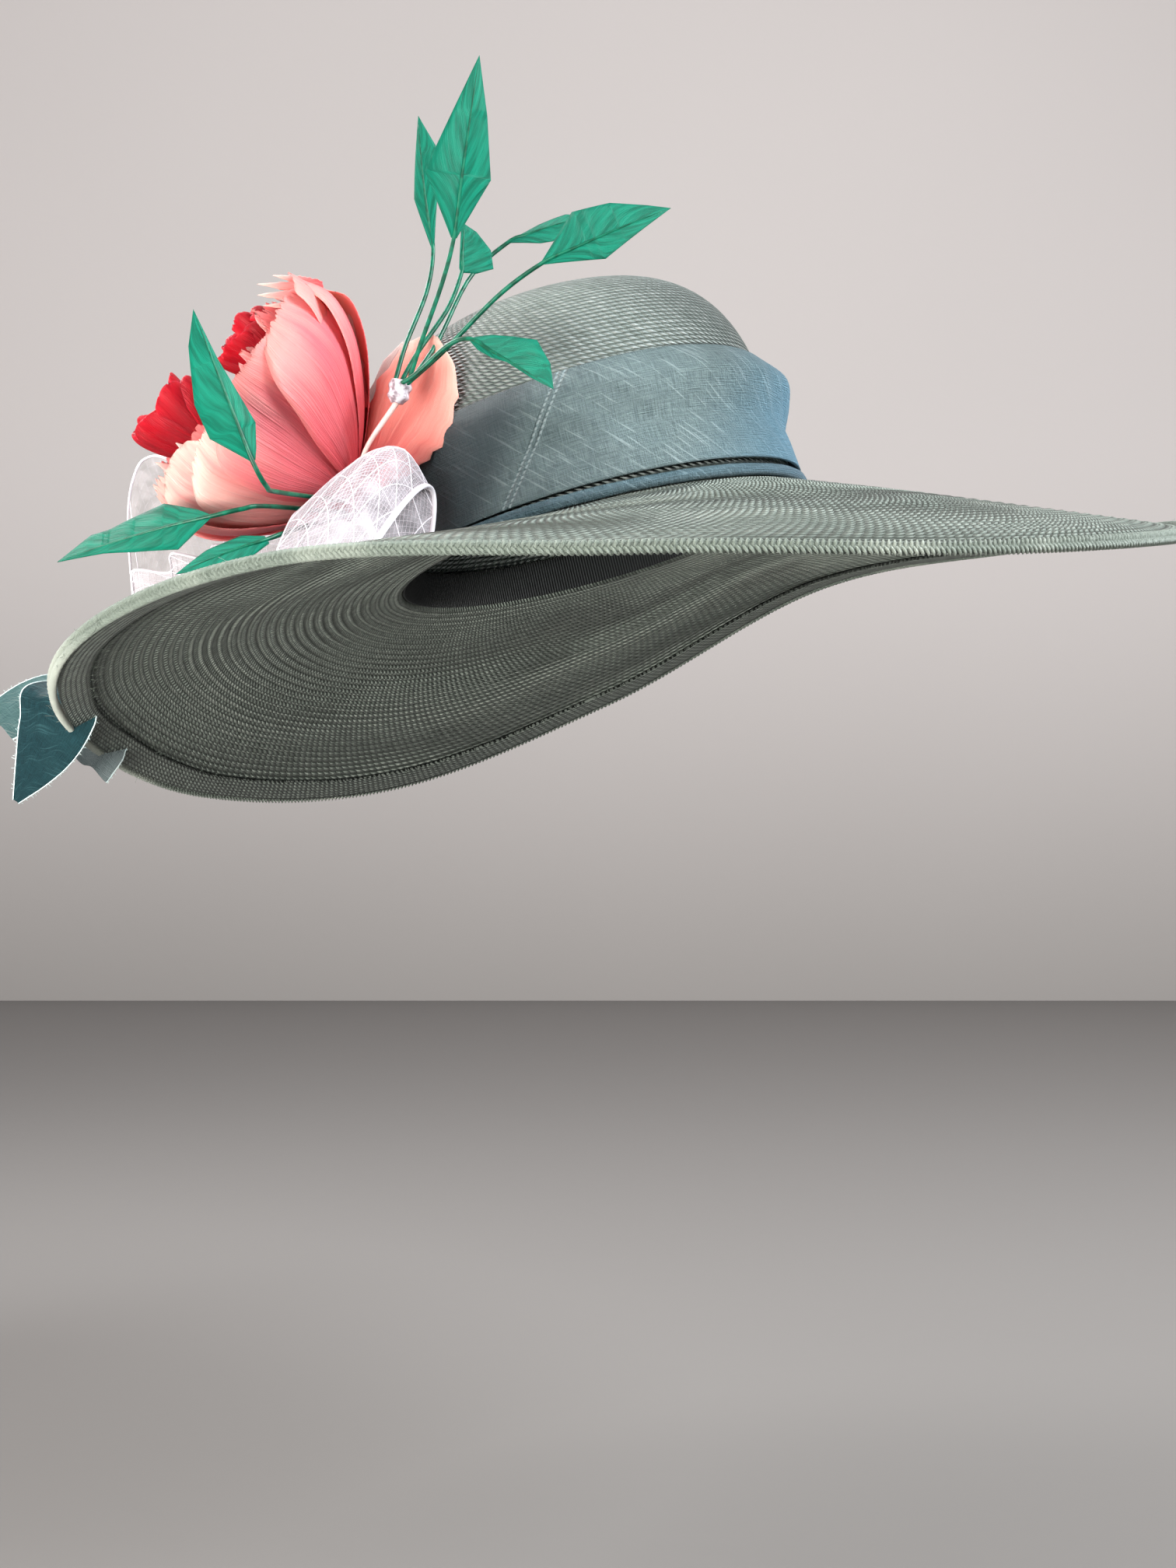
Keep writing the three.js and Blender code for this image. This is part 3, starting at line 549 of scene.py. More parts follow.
# %% Crown piece
top = CROWN_HEIGHT - STRAW / 2
profile = [Vector((crown_share(z), z, 0)) for z in (GAP, 8, 16, CROWN_UPRIGHT)]
for i in range(1, 121):
    turn = math.pi / 2 * (1 - (1 - i / 120) ** 2.1)
    rise = math.sin(turn) ** (2 / CROWN_TOP_POWER)
    profile.append(Vector((CROWN_TAPER * max(1 - rise**CROWN_TOP_POWER, 0) ** (1 / CROWN_SIDE_POWER),
                           CROWN_UPRIGHT + rise * (top - CROWN_UPRIGHT), 0)))
to_scale = [Vector((p.x * 94, p.y, 0)) for p in profile]
profile_at, profile_length = evenly(to_scale)


def crown_place(x, y):
    spot = profile_at(y)
    angle = x * 360
    turn = math.radians(angle)
    share = spot.x / 94
    reach_x = (HEAD_HALF_WIDTH + CROWN_MIDDLE) * share
    reach_y = (HEAD_HALF_LENGTH + CROWN_MIDDLE) * share
    uneven = noise.noise(Vector((math.cos(turn) * 1.6, math.sin(turn) * 1.6, spot.y * 0.02))) * 0.6
    place = Vector((reach_x * math.cos(turn), reach_y * math.sin(turn), spot.y))
    return place + outward(place) * uneven * smooth(20, 50, spot.y) * (1 - smooth(0.85, 1, y))


crown = surface("crown_straw_hood", 160, 48, crown_place, (588, profile_length), closed=True)
thicken(crown, STRAW * 0.75)
hand_over(crown, crown_straw, "straw", "crown")

# %% [markdown]
# ## Brim
# The brim is blocked in one piece too, and rises and dips like a wave round the head. Its straw
# lies in shallow rings, which the light from the side picks out on the underside. They are only
# about a third of a millimetre high, but they are real bumps of the mesh here, and the brim's
# finish also paints light and shade along them.

# %% Brim piece
RING_HEIGHT = 0.3


def brim_place(x, y):
    angle = x * 360
    if y < 0.07:
        return wall(angle, COLLAR, mix(COLLAR_HEIGHT, 0, y / 0.07))
    share = (y - 0.07) / 0.93
    turn = math.radians(angle)
    wobble = noise.noise(Vector((math.cos(turn) * 2, math.sin(turn) * 2, share * 3)))
    reach = share * BRIM_REACH_SIDE + wobble * 2.5
    ring = RING_HEIGHT * math.sin(2 * math.pi * reach / RING_PITCH)
    ring *= smooth(0, 0.06, share) * smooth(1, 0.97, share)
    return brim_point(angle, share, ring + wobble * 1.1 * smooth(0.15, 0.4, share) * smooth(1, 0.75, share))


brim = surface("brim_straw_sheet", 216, 150, brim_place, (1100, 175), closed=True)
thicken(brim, STRAW * 0.8)
hand_over(brim, brim_straw, "straw", "brim")


# %% [markdown]
# The straw is folded under at the rim, and its cut inner edge is a little ragged. It could be part
# of the brim's mesh, but a strip of its own keeps its weave straight along the rim.

# %% Hem folded back under the edge
def hem_place(x, y):
    angle = x * 360
    turn = math.radians(angle)
    ragged = noise.noise(Vector((math.cos(turn) * 5, math.sin(turn) * 5, 3.1))) * 2.2
    share = mix(1 - (HEM_WIDTH + ragged) / BRIM_REACH_SIDE, 1, y)
    drop = STRAW + 1.5 * GAP + 0.35 * math.sin(math.pi * y)
    return brim_point(angle, share, -drop)


hem = surface("brim_straw_hem", 216, 6, hem_place, (1450, 14), closed=True)
thicken(hem, STRAW * 0.8)
hand_over(hem, hem_straw, "straw", "brim_hem")

# %% [markdown]
# ## Plaited edge
# A narrow three-strand plait is sewn over the raw edge of brim and hem. A single rope with a bump
# pattern would look smooth along its outline, so the three flat strands are really plaited: each
# swings from side to side, a third of a turn after the last, and dips in and out twice as often.

# %% Plait strands
PLAIT_PITCH = 6.5
EDGE_WIDTH = 4.2
EDGE_HEIGHT = 5.2
rim_length = sum((rim(i + 1) - rim(i)).length for i in range(360))
PLAITS = round(rim_length / PLAIT_PITCH)


def plait_middle(angle):
    edge = brim_point(angle, 1)
    out = (rim(angle) - brim_point(angle, 0.9))
    out = Vector((out.x, out.y, 0)).normalized()
    edge += out * (GAP + EDGE_WIDTH / 2)
    edge.z -= (STRAW + GAP) / 2
    return edge, out


strands = []
for strand in range(3):
    def strand_place(x, y, strand=strand):
        middle, out = plait_middle(y * 360)
        swing = 2 * math.pi * (y * PLAITS + strand / 3)
        section = 2 * math.pi * x
        up = EDGE_HEIGHT * 0.36 * math.sin(swing) + 1.15 * math.sin(section)
        side = 1.0 * math.sin(2 * swing) + 0.85 * math.cos(section)
        return middle + Vector((0, 0, up)) + out * side
    strands.append(surface("strand", 6, PLAITS * 10, strand_place, (6, rim_length), closed=True))
core = surface("core", 6, 240, lambda x, y: plait_middle(y * 360)[0] + Vector(
    (0, 0, 1.5 * math.sin(2 * math.pi * x))) + plait_middle(y * 360)[1] * 0.9 * math.cos(2 * math.pi * x),
    (6, rim_length), closed=True)
plait = join("edge_plait_strands", strands + [core])
hand_over(plait, edge_straw, "straw_edge", "edge_plait")
print(PLAITS, "crossings along", round(rim_length), "mm of edge")

# %% [markdown]
# ## Silk band and head ribbon
# The band is a strip of slubbed silk, cut on the bias, drawn round the crown and tucked into soft
# pleats; it billows at the wearer's left front. Cloth simulation would smooth such tucks away, so the
# pleats are drawn as sections that change round the hat, with shallow slanting creases between
# them. A round silk roll closes its foot, and a ribbed ribbon lines the head opening.

# %% Silk finish
def slubbed_silk(name, deep, body, bright, weave=1.0, seams=(), slope=0.0, painted_light_and_shade=()):
    mixture = Mixture(name)
    x, y = mixture.place()
    warp = mixture.noise(x * 2.6 * weave, y * 0.1, 3, 0.6)
    weft = mixture.noise(x * 0.09, y * 2.4 * weave, 3, 0.6)
    slub = mixture.noise((x + y) * 0.55, (x - y) * 0.03, 2, 0.5, z=4)
    patch = mixture.noise(x * 0.012, y * 0.02, 2, 0.5, z=9)
    weaving = warp * 0.5 + weft * 0.5
    tone = mixture.blend(weaving.between(0.38, 0.62), deep, body)
    tone = mixture.blend(slub.between(0.55, 0.72) * 0.55 + (patch - 0.5) * 0.5, tone, bright)
    height = weaving + slub * 0.4
    # Painted light and shade: each row tints a stretch of the cloth along its length, from low to high and
    # out again by end, towards its colour. Dark rows are painted shade, and bright rows are painted light.
    for low, high, end, colour in painted_light_and_shade:
        run = x - y * slope
        share = run.between(low, high) * (1 - run.between(end - 50, end)) * 0.72
        tone = mixture.blend(share, tone, colour)
    for start in seams:
        for beside in (0, 3.2):
            line = (x - start - beside - y * slope).absolute()
            dash = ((y / 2.1).fraction() - 0.5).absolute()
            stitch = (1 - line.between(0.35, 0.8)) * (1 - dash.between(0.2, 0.38))
            tone = mixture.blend(stitch * 0.7, tone, bright)
            height = height - (1 - line.between(0.3, 1.1)) * 0.8
    return mixture.finish(height, 0.25, 0.8, Base_Color=tone, Roughness=0.46 - (weaving - 0.5) * 0.2)


def ribbed_ribbon():
    mixture = Mixture("ribbed_ribbon")
    x, y = mixture.place()
    rib = (x * (2 * math.pi / 1.3)).wave()
    patch = mixture.noise(x * 0.2, y * 0.3)
    tone = mixture.blend(rib.between(-0.6, 0.9), (0.01, 0.013, 0.014), (0.05, 0.056, 0.06))
    return mixture.finish(rib + patch, 0.2, 0.7, Base_Color=tone, Roughness=0.7)


# On the band, the dark slate rows tint the cloth from the end of the blue stretch round the back to the seam,
# as painted shade away from the window. The sky-blue row is painted light on the side toward it.
band_silk = slubbed_silk(
    "band_silk", (0.13, 0.2, 0.21), (0.28, 0.39, 0.4), (0.62, 0.76, 0.78), seams=(368,), slope=0.73,
    painted_light_and_shade=((370, 345, 900, (0.045, 0.07, 0.085)), (440, 545, 580, (0.25, 0.6, 0.86)),
            (530, 580, 900, (0.045, 0.07, 0.085))))
ribbon_cloth = ribbed_ribbon()

# %% [markdown]
# The band's folds are shallow in most places and full at the wearer's left front. Two rows of
# heights, calm and full, are mixed round the hat, and slanting noise gives the small creases.

# %% Band piece
BAND_HEIGHTS = [0, 0.2, 0.44, 0.65, 0.82, 1]
BAND_CALM = [0.3, 0.22, 0.16, 0.36, 0.42, 0.12]
BAND_FULL = [0.35, 0.3, 0.28, 0.75, 1, 0.25]
BAND_FULLEST = 322
BAND_LENGTH = 618


def band_fold(angle, height):
    fullness = ((1 + math.cos(math.radians(angle - BAND_FULLEST))) / 2) ** 2
    i = min(next((n for n, h in enumerate(BAND_HEIGHTS[1:]) if height <= h), 4), 4)
    station = (i + (height - BAND_HEIGHTS[i]) / (BAND_HEIGHTS[i + 1] - BAND_HEIGHTS[i])) / 5
    return mix(through(BAND_CALM, station), through(BAND_FULL, station), fullness), fullness


def band_place(x, y):
    angle = x * 360
    fold, fullness = band_fold(angle, y)
    turn = math.radians(angle)
    slant = angle / 360 * 618 + y * 46
    crease = noise.noise(Vector((slant * 0.035, y * 1.1, 2.2))) * 1.5 + noise.noise(
        Vector((slant * 0.11, y * 2, 7.7))) * 0.6
    crease *= smooth(0, 0.25, y) * smooth(1, 0.8, y) * (0.45 + fullness)
    place = wall(angle, CROWN_MIDDLE, mix(6, BAND_TOP + 1.2 * math.sin(3 * turn), y))
    return place + outward(place) * (STRAW / 2 + GAP + 0.7 + BAND_PUFF * fold + crease)


band = surface("silk_band_cloth", 240, 36, band_place, (BAND_LENGTH, 52), closed=True)
thicken(band, 1.1)
hand_over(band, band_silk, "silk", "silk_band")


# %% [markdown]
# The roll is silk wrapped round a soft core; a bevelled curve would do, but could not follow the
# brim's height with a mesh of its own. The ribbon takes up sweat inside the real hat.

# %% Roll and ribbon
def roll_place(x, y):
    angle = y * 360
    radius = ROLL_DIAMETER / 2
    place = oval(angle, BAND_INSIDE + radius, 0)
    share = (BAND_INSIDE + radius - COLLAR) / BRIM_REACH_SIDE
    turn = math.radians(angle)
    pinch = 1 + 0.07 * noise.noise(Vector((math.cos(turn) * 9, math.sin(turn) * 9, 1)))
    place.z = brim_point(angle, share).z + STRAW / 2 + GAP + radius * 1.1
    section = 2 * math.pi * x
    return place + (outward(place) * math.cos(section) + Vector((0, 0, math.sin(section)))) * radius * pinch


roll = surface("silk_roll", 10, 240, roll_place, (BAND_LENGTH, 16), closed=True)
for corner in roll.data.uv_layers[0].data:
    corner.uv = (corner.uv[1] / 16 * BAND_LENGTH, corner.uv[0] / BAND_LENGTH * 16)
# The roll's silk is a darker copy of the band's silk, as painted shade along the band's foot. The band's
# sky-blue stretch of painted light is repeated on it.
shaded_roll_silk = slubbed_silk("shaded_roll_silk", (0.07, 0.14, 0.17), (0.16, 0.28, 0.33), (0.36, 0.52, 0.6),
                         painted_light_and_shade=((440, 545, 610, (0.22, 0.38, 0.5)),))
hand_over(roll, shaded_roll_silk, "silk", "band_roll")
ribbon = surface("head_ribbon_cloth", 200, 6, lambda x, y: wall(x * 360, 0.4, y * 16), (560, 16), closed=True)
thicken(ribbon, 0.7)
hand_over(ribbon, ribbon_cloth, "head_ribbon", "head_ribbon")

# %% [markdown]
# ## Feather finishes
# A dyed feather is hundreds of soft barbs that leave the shaft at a slant. Its colour is strongest
# at the foot, partly from the dye and partly as painted shade where the petals crowd together, and
# it fades and frays towards its edges. A texture of stretched noise gives the barbs, and the same
# noise cuts the fringe through the Alpha socket, so the outline isn't a clean curve.


# %% Feather mixture
def feather(name, foot, body, tip, fringe=0.14, barbs=46, slant=0.3, gloss=0.48, sheer=1.0):
    mixture = Mixture(name)
    x, y = mixture.place()
    side = (x - 0.5).absolute() * 2
    half = (x - 0.5).between(-0.01, 0.01) * 9
    run = side * barbs - y * barbs * slant
    streak = mixture.noise(run * 1.5, y * 1.3 + half, 3, 0.55)
    lock = mixture.noise(run * 0.16, y * 1.1 + half, 2, 0.5, z=3)
    share = y + (lock - 0.5) * 0.55
    # Painted shade in part: the deep foot colour is the dye, and also shade at the petal's foot deep in the
    # flower, where the petals crowd together.
    tone = mixture.blend(share.between(0.0, 0.55), foot, body)
    tone = mixture.blend((share + side * side * 0.25).between(0.62, 1.2), tone, tip)
    dim = tuple(c * 0.6 for c in foot)
    tone = mixture.blend((1 - streak.between(0.3, 0.5)) * 0.16, tone, dim)
    tone = mixture.blend(streak.between(0.55, 0.72) * 0.16, tone, tip)
    reach = (side * (0.7 + y * 0.3)).larger((y - 0.3) / 0.7)
    cut = reach.between(1 - fringe, 1.02)
    alpha = ((streak * 1.5 - 0.25 - cut) * 9 + 4.2).between(0, 1)
    if sheer < 1:
        alpha = alpha * (sheer + streak.between(0.45, 0.6) * (1 - sheer) * 0.5)
    values = {"Base Color": tone, "Roughness": gloss, "Alpha": alpha, "Specular IOR Level": 0.25,
              "Subsurface Weight": 0.35, "Subsurface Radius": (1, 0.35, 0.3), "Subsurface Scale": 0.004}
    return mixture.finish(streak + lock * 2, 0.16, 0.4, **values)


coral_feather = feather(
    "coral_feather", (0.66, 0.035, 0.05), (0.84, 0.13, 0.155), (0.96, 0.34, 0.31), fringe=0.1)
blush_feather = feather(
    "blush_feather", (0.78, 0.08, 0.09), (0.93, 0.26, 0.25), (1.0, 0.58, 0.5), fringe=0.14)
deep_feather = feather(
    "deep_feather", (0.5, 0.012, 0.025), (0.74, 0.06, 0.075), (0.9, 0.2, 0.19), fringe=0.14)
crimson_feather = feather(
    "crimson_feather", (0.12, 0.001, 0.005), (0.38, 0.001, 0.009), (0.6, 0.008, 0.022), fringe=0.14, barbs=26)
sheer_feather = feather(
    "sheer_feather", (0.4, 0.13, 0.11), (0.45, 0.25, 0.22), (0.85, 0.7, 0.66), sheer=0.6, fringe=0.1)

# %% [markdown]
# ## Peony
# The flower is built like a real feather peony: each petal is one feather, tied by its foot and
# curved round the flower's axis. So a petal is drawn on a shell round that axis: its profile says
# how far out it is along the axis, and its span how far round it reaches. Petals are set one by
# one in layers, from the broad outer ones to the curled hearts.

# %% The flower's own axes
root = by_crown(-1.292, 0.02, 0.332)
axis = Vector((-0.644, 0.119, 0.755)).normalized()
up = (Vector((0, 0, 1)) - axis * axis.z).normalized()
away = axis.cross(up)


def in_peony(along, out, turn):
    around = up * math.cos(math.radians(turn)) + away * math.sin(math.radians(turn))
    return root + axis * along + around * out


PETAL_ALONG = [0.02, 0.09, 0.28, 0.55, 0.82, 1.03]
PETAL_OUT = [0.09, 0.3, 0.58, 0.84, 0.99, 0.97]
PETAL_SPAN = [0.4, 0.85, 1, 1.02, 1, 0.84]


def petal(name, turn, reach=1.0, wide=1.0, span=36, sag=0.12, tip_in=0.0, jag=0.03, twist=0, rows=24):
    """A feather petal on a shell round the flower's axis; reach and wide scale its profile."""
    torn = [chance.uniform(-1, 1) for _ in range(30)]

    def place(x, y):
        u = 2 * x - 1
        t = y * (1 + jag * torn[int(x * 29)] * smooth(0.6, 1, y))
        along = through(PETAL_ALONG, t) * PEONY_RADIUS * reach * (1 - sag * u * u * t)
        out = through(PETAL_OUT, t) * PEONY_RADIUS * wide * (1 - tip_in * smooth(0.5, 1, t))
        out += (0.7 * math.sin(5 * u + turn) + 0.4 * math.sin(13 * u + 2 * turn)) * t
        round_it = span * through(PETAL_SPAN, t) * u * (1.1 - 0.25 * t) + twist * t
        return in_peony(along, out, turn + round_it)

    return thicken(surface(name, 24, rows, place), 0.3)


# %% [markdown]
# The outer petals overlap like tiles, each a little wider than the one inside it. Copies of one
# petal would look stamped, so each row gives one petal its own turn, reach, width and curl.

# %% Outer petals: turn, reach, how wide they stand, half of their span, inward turn of the tip
def whorl(name, rows, finish, *nodes, **more):
    parts = [petal("petal", turn, reach, wide, span=span, tip_in=tip_in, **more)
             for turn, reach, wide, span, tip_in in rows]
    return hand_over(join(name, parts), finish, "coral_feather", *nodes)


whorl("peony_outer_petals", (
    (318, 1.06, 1.05, 54, 0.14), (352, 1.1, 1.08, 44, 0.08), (20, 1.04, 1.1, 44, 0.05),
    (58, 0.98, 1.02, 46, 0.08), (100, 0.95, 0.95, 48, 0.1), (142, 0.92, 0.86, 48, 0.1),
    (276, 0.98, 0.96, 52, 0.08), (338, 1.15, 0.98, 34, 0.0),
), coral_feather, "peony_petals")
whorl("peony_lower_petals", (
    (244, 0.92, 0.9, 44, 0.05), (214, 0.98, 0.82, 40, 0.0), (188, 1.0, 0.78, 40, 0.0),
    (160, 0.95, 0.8, 44, 0.05),
), blush_feather, jag=0.06)

# %% [markdown]
# Inside them stand narrower and redder feathers, more torn at the tips. The same helper makes them
# with shorter rows, since only their ends show between the outer petals and the hearts.

# %% Inner petals
whorl("peony_inner_petals", (
    (312, 1.14, 0.84, 34, 0.12), (272, 0.98, 0.74, 34, 0.1), (2, 1.18, 0.9, 32, 0.1),
    (42, 1.12, 0.84, 36, 0.1), (92, 1.06, 0.78, 38, 0.1), (142, 1.02, 0.7, 38, 0.1),
    (184, 1.04, 0.64, 34, 0.05), (228, 0.98, 0.66, 36, 0.05),
), deep_feather, sag=0.18, jag=0.08)
whorl("peony_heart_petals", (
    (330, 1.2, 0.7, 32, 0.1), (290, 1.06, 0.6, 30, 0.1), (20, 1.2, 0.72, 34, 0.1), (70, 1.1, 0.6, 36, 0.1),
    (248, 1.0, 0.55, 30, 0.05),
), coral_feather, sag=0.2, jag=0.1)


# %% [markdown]
# A heart is a ring of small feathers, curled over a blade until they hook inwards. Each is a bent
# grid, set in three rings with seeded chance, as the hand that curled them was not exact either.

# %% Hearts of curled crimson feathers
def curl_petal(middle, turn, start, top, width, lean, hook):
    """A narrow feather beside a heart's middle: it rises from start to top, leans out and hooks in."""
    direction = up * math.cos(math.radians(turn)) + away * math.sin(math.radians(turn))
    across = axis.cross(direction)
    torn = [chance.uniform(-1, 0.4) for _ in range(18)]

    def place(x, y):
        u = 2 * x - 1
        t = y * (1 + 0.22 * torn[int(x * 17)] * smooth(0.55, 1, y))
        along = mix(start, top, math.sin(t * 1.75))
        out = 2 + lean * math.sin(t * 1.9) - hook * smooth(0.5, 1, t)
        broad = width * through([0.3, 0.85, 1, 0.95, 0.7], t)
        place = root + middle + axis * (along - 2.5 * u * u * t)
        return place + direction * (out - 0.3 * broad * u * u) + across * (broad * u / 2)

    return thicken(surface("curl", 16, 16, place), 0.3)


def heart(name, centre_out, centre_turn, low, top, size, node):
    middle = in_peony(0, centre_out, centre_turn) - root
    parts = []
    for ring, count in enumerate((8, 7, 5)):
        shrink = 1 - 0.27 * ring
        for i in range(count):
            turn = (i + 0.5 * ring) * 360 / count + chance.uniform(-14, 14)
            parts.append(curl_petal(
                middle, turn, low + 2 * ring, top - 2.5 * ring + chance.uniform(-6, 4),
                size * shrink * chance.uniform(0.85, 1.15), size * shrink * chance.uniform(0.8, 1.05),
                size * shrink * chance.uniform(-0.15, 0.45)))
    return hand_over(join(name, parts), crimson_feather, "crimson_feather", node)


heart("peony_upper_heart", 28, 350, 32, 78, 16, "peony_heart_upper")
heart("peony_lower_heart", 21, 192, 34, 84, 18, "peony_heart_lower")

# %% [markdown]
# ## Single feathers
# Side petals, pointed tips and green leaves are single feathers: a spine with barbs on both sides.
# A flat outline could be filled and bent, but then its faces are long and thin. So one helper lays
# a grid along a curved spine, with the outline given as a few corners on each side of it.


# %% Blade on a spine
def level(table, share):
    """Straight lines between a table's (place, value) rows."""
    for (a, low), (b, high) in zip(table, table[1:]):
        if share <= b:
            return mix(low, high, (share - a) / (b - a))
    return table[-1][1]


def blade(name, base, tip, facing, before, after, bulge=0.0, fold=0.1, cup=0.1, ripple=0.0, jag=0.0,
          columns=14):
    length = (tip - base).length
    corners = {round(i / 20, 3) for i in range(21)} | {row[0] for row in before} | {row[0] for row in after}
    rows = sorted(corners)
    control = base.lerp(tip, 0.5) + facing * 2 * bulge
    torn = [chance.uniform(0, 1) for _ in range(60)]

    def place(x, y):
        i = round(y * (len(rows) - 1))
        t = rows[i]
        spot = base * (1 - t) ** 2 + control * 2 * t * (1 - t) + tip * t * t
        ahead = ((control - base) * (1 - t) + (tip - control) * t).normalized()
        side = ahead.cross(facing).normalized()
        out = side.cross(ahead).normalized()
        u = 2 * x - 1
        width = level(before if u < 0 else after, t) * length
        width *= 1 - jag * torn[i] * abs(u)
        lift = -fold * abs(u) * width - cup * u * u * width
        lift += ripple * width * math.sin(7 * t + 2.5 * u) * abs(u)
        return spot + side * u * width + out * lift

    return thicken(surface(name, columns, len(rows) - 1, place), 0.35)


# %% [markdown]
# At the mouth of the flower single barbs stick together in points, and under it the feathers are
# bound into a small foot. The points are narrow blades; the foot is a short thick rod.

# %% Spiky tips and the flower's foot
ahead_of_camera = Vector((0.493, 0.866, 0.086))


def spike(foot, tip, width):
    return blade(
        "spike", in_peony(*foot), in_peony(*tip), -ahead_of_camera, [(0, width), (0.5, width), (1, 0)],
        [(0, width), (0.4, width), (1, 0)], bulge=1.5, fold=0, cup=0.3, jag=0.3, columns=6)


tips = [
    spike((58, 62, 338), (80, 47, 333), 0.1), spike((56, 60, 330), (77, 44, 328), 0.12),
    spike((52, 60, 322), (72, 44, 318), 0.1), spike((60, 64, 346), (78, 54, 344), 0.1),
    spike((20, 38, 350), (53, 69, 356), 0.09), spike((16, 34, 338), (47, 66, 352), 0.07),
    spike((50, 44, 178), (63, 47, 180), 0.2), spike((46, 42, 200), (60, 45, 196), 0.22),
    spike((48, 38, 222), (62, 38, 214), 0.2), spike((44, 40, 240), (57, 38, 235), 0.2),
    spike((52, 36, 188), (68, 40, 186), 0.18), spike((50, 34, 208), (66, 34, 204), 0.18),
]
hand_over(join("peony_feather_tips", tips), blush_feather, "coral_feather")
foot = rod("peony_foot", [in_peony(-10, 0, 0), in_peony(-6, 0, 0), in_peony(0, 0, 0), in_peony(5, 0, 0)],
           lambda share: 5 + 3.2 * math.sin(math.pi * share), sides=16)
hand_over(foot, crimson_feather, "crimson_feather")

# %% [markdown]
# ## Side petals
# Two broad feathers stand between flower and crown: a coral one in front of a sheer, brownish one.
# Both are gently cupped blades with a torn edge.

# %% Side petals
calyx_foot = in_peony(-5, 9, 300)
facing_camera = Vector((-0.9, -0.41, 0.07)).normalized()
front = blade(
    "side_petal_coral", calyx_foot, by_crown(-0.9, -0.44, 0.815), facing_camera,
    [(0, 0.05), (0.3, 0.24), (0.6, 0.3), (0.85, 0.22), (1, 0.05)],
    [(0, 0.05), (0.25, 0.28), (0.5, 0.38), (0.75, 0.36), (0.92, 0.2), (1, 0.04)],
    bulge=-1, fold=0, cup=0.12, ripple=0.03, jag=0.12)
side_feather = feather("side_feather", (0.72, 0.08, 0.09), (0.92, 0.26, 0.22), (0.98, 0.48, 0.4), fringe=0.12)
hand_over(front, side_feather, "coral_feather", "side_petal_front")
back = blade(
    "side_petal_sheer", in_peony(-5, 9, 325), by_crown(-0.92, -0.24, 0.86), facing_camera,
    [(0, 0.05), (0.3, 0.2), (0.6, 0.26), (0.85, 0.2), (1, 0.04)],
    [(0, 0.05), (0.3, 0.24), (0.6, 0.3), (0.85, 0.22), (1, 0.04)],
    bulge=-1.5, fold=0, cup=0.12, ripple=0.02, jag=0.04)
hand_over(back, sheer_feather, "coral_feather", "side_petal_back")

# %% [markdown]
# ## Green leaves
# The leaves are stiff goose feathers, dyed green and trimmed with straight cuts, so they have
# corners where a plant's leaf would be round. Each keeps its quill, bare and glossy below the
# blade. Six quills rise from a clear wrap in front of the side petal, and three come from beside
# the flower's foot.


# %% Green finishes
def green_feather():
    mixture = Mixture("green_feather")
    x, y = mixture.place()
    side = (x - 0.5).absolute() * 2
    run = y * 84 - side * 26
    streak = mixture.noise(run, side * 1.2 + (x - 0.5).between(-0.01, 0.01) * 9, 3, 0.6)
    broad = mixture.noise(run * 0.16, side + (x - 0.5).between(-0.01, 0.01) * 7, 2)
    tone = mixture.blend(broad.between(0.3, 0.7), (0.0, 0.1, 0.06), (0.002, 0.2, 0.125))
    tone = mixture.blend(streak.between(0.5, 0.75) * 0.3, tone, (0.01, 0.25, 0.165))
    tone = mixture.blend((1 - side.between(0.02, 0.07)) * 0.75, tone, (0.0, 0.06, 0.035))
    return mixture.finish(streak + broad, 0.2, 0.4, Base_Color=tone, Roughness=0.5, Specular_IOR_Level=0.2)


leaf_finish = green_feather()
quill_finish = mottled(
    "green_quill", (0.0, 0.055, 0.028), (0.0, 0.13, 0.07), 260, 0.0002, 0.4, sharp=True, Roughness=0.36,
    Specular_IOR_Level=0.35)

# %% [markdown]
# Every leaf is different, so each is measured by itself: where its blade begins and ends, which
# way it faces, and the corners of its cut on both sides of the spine.

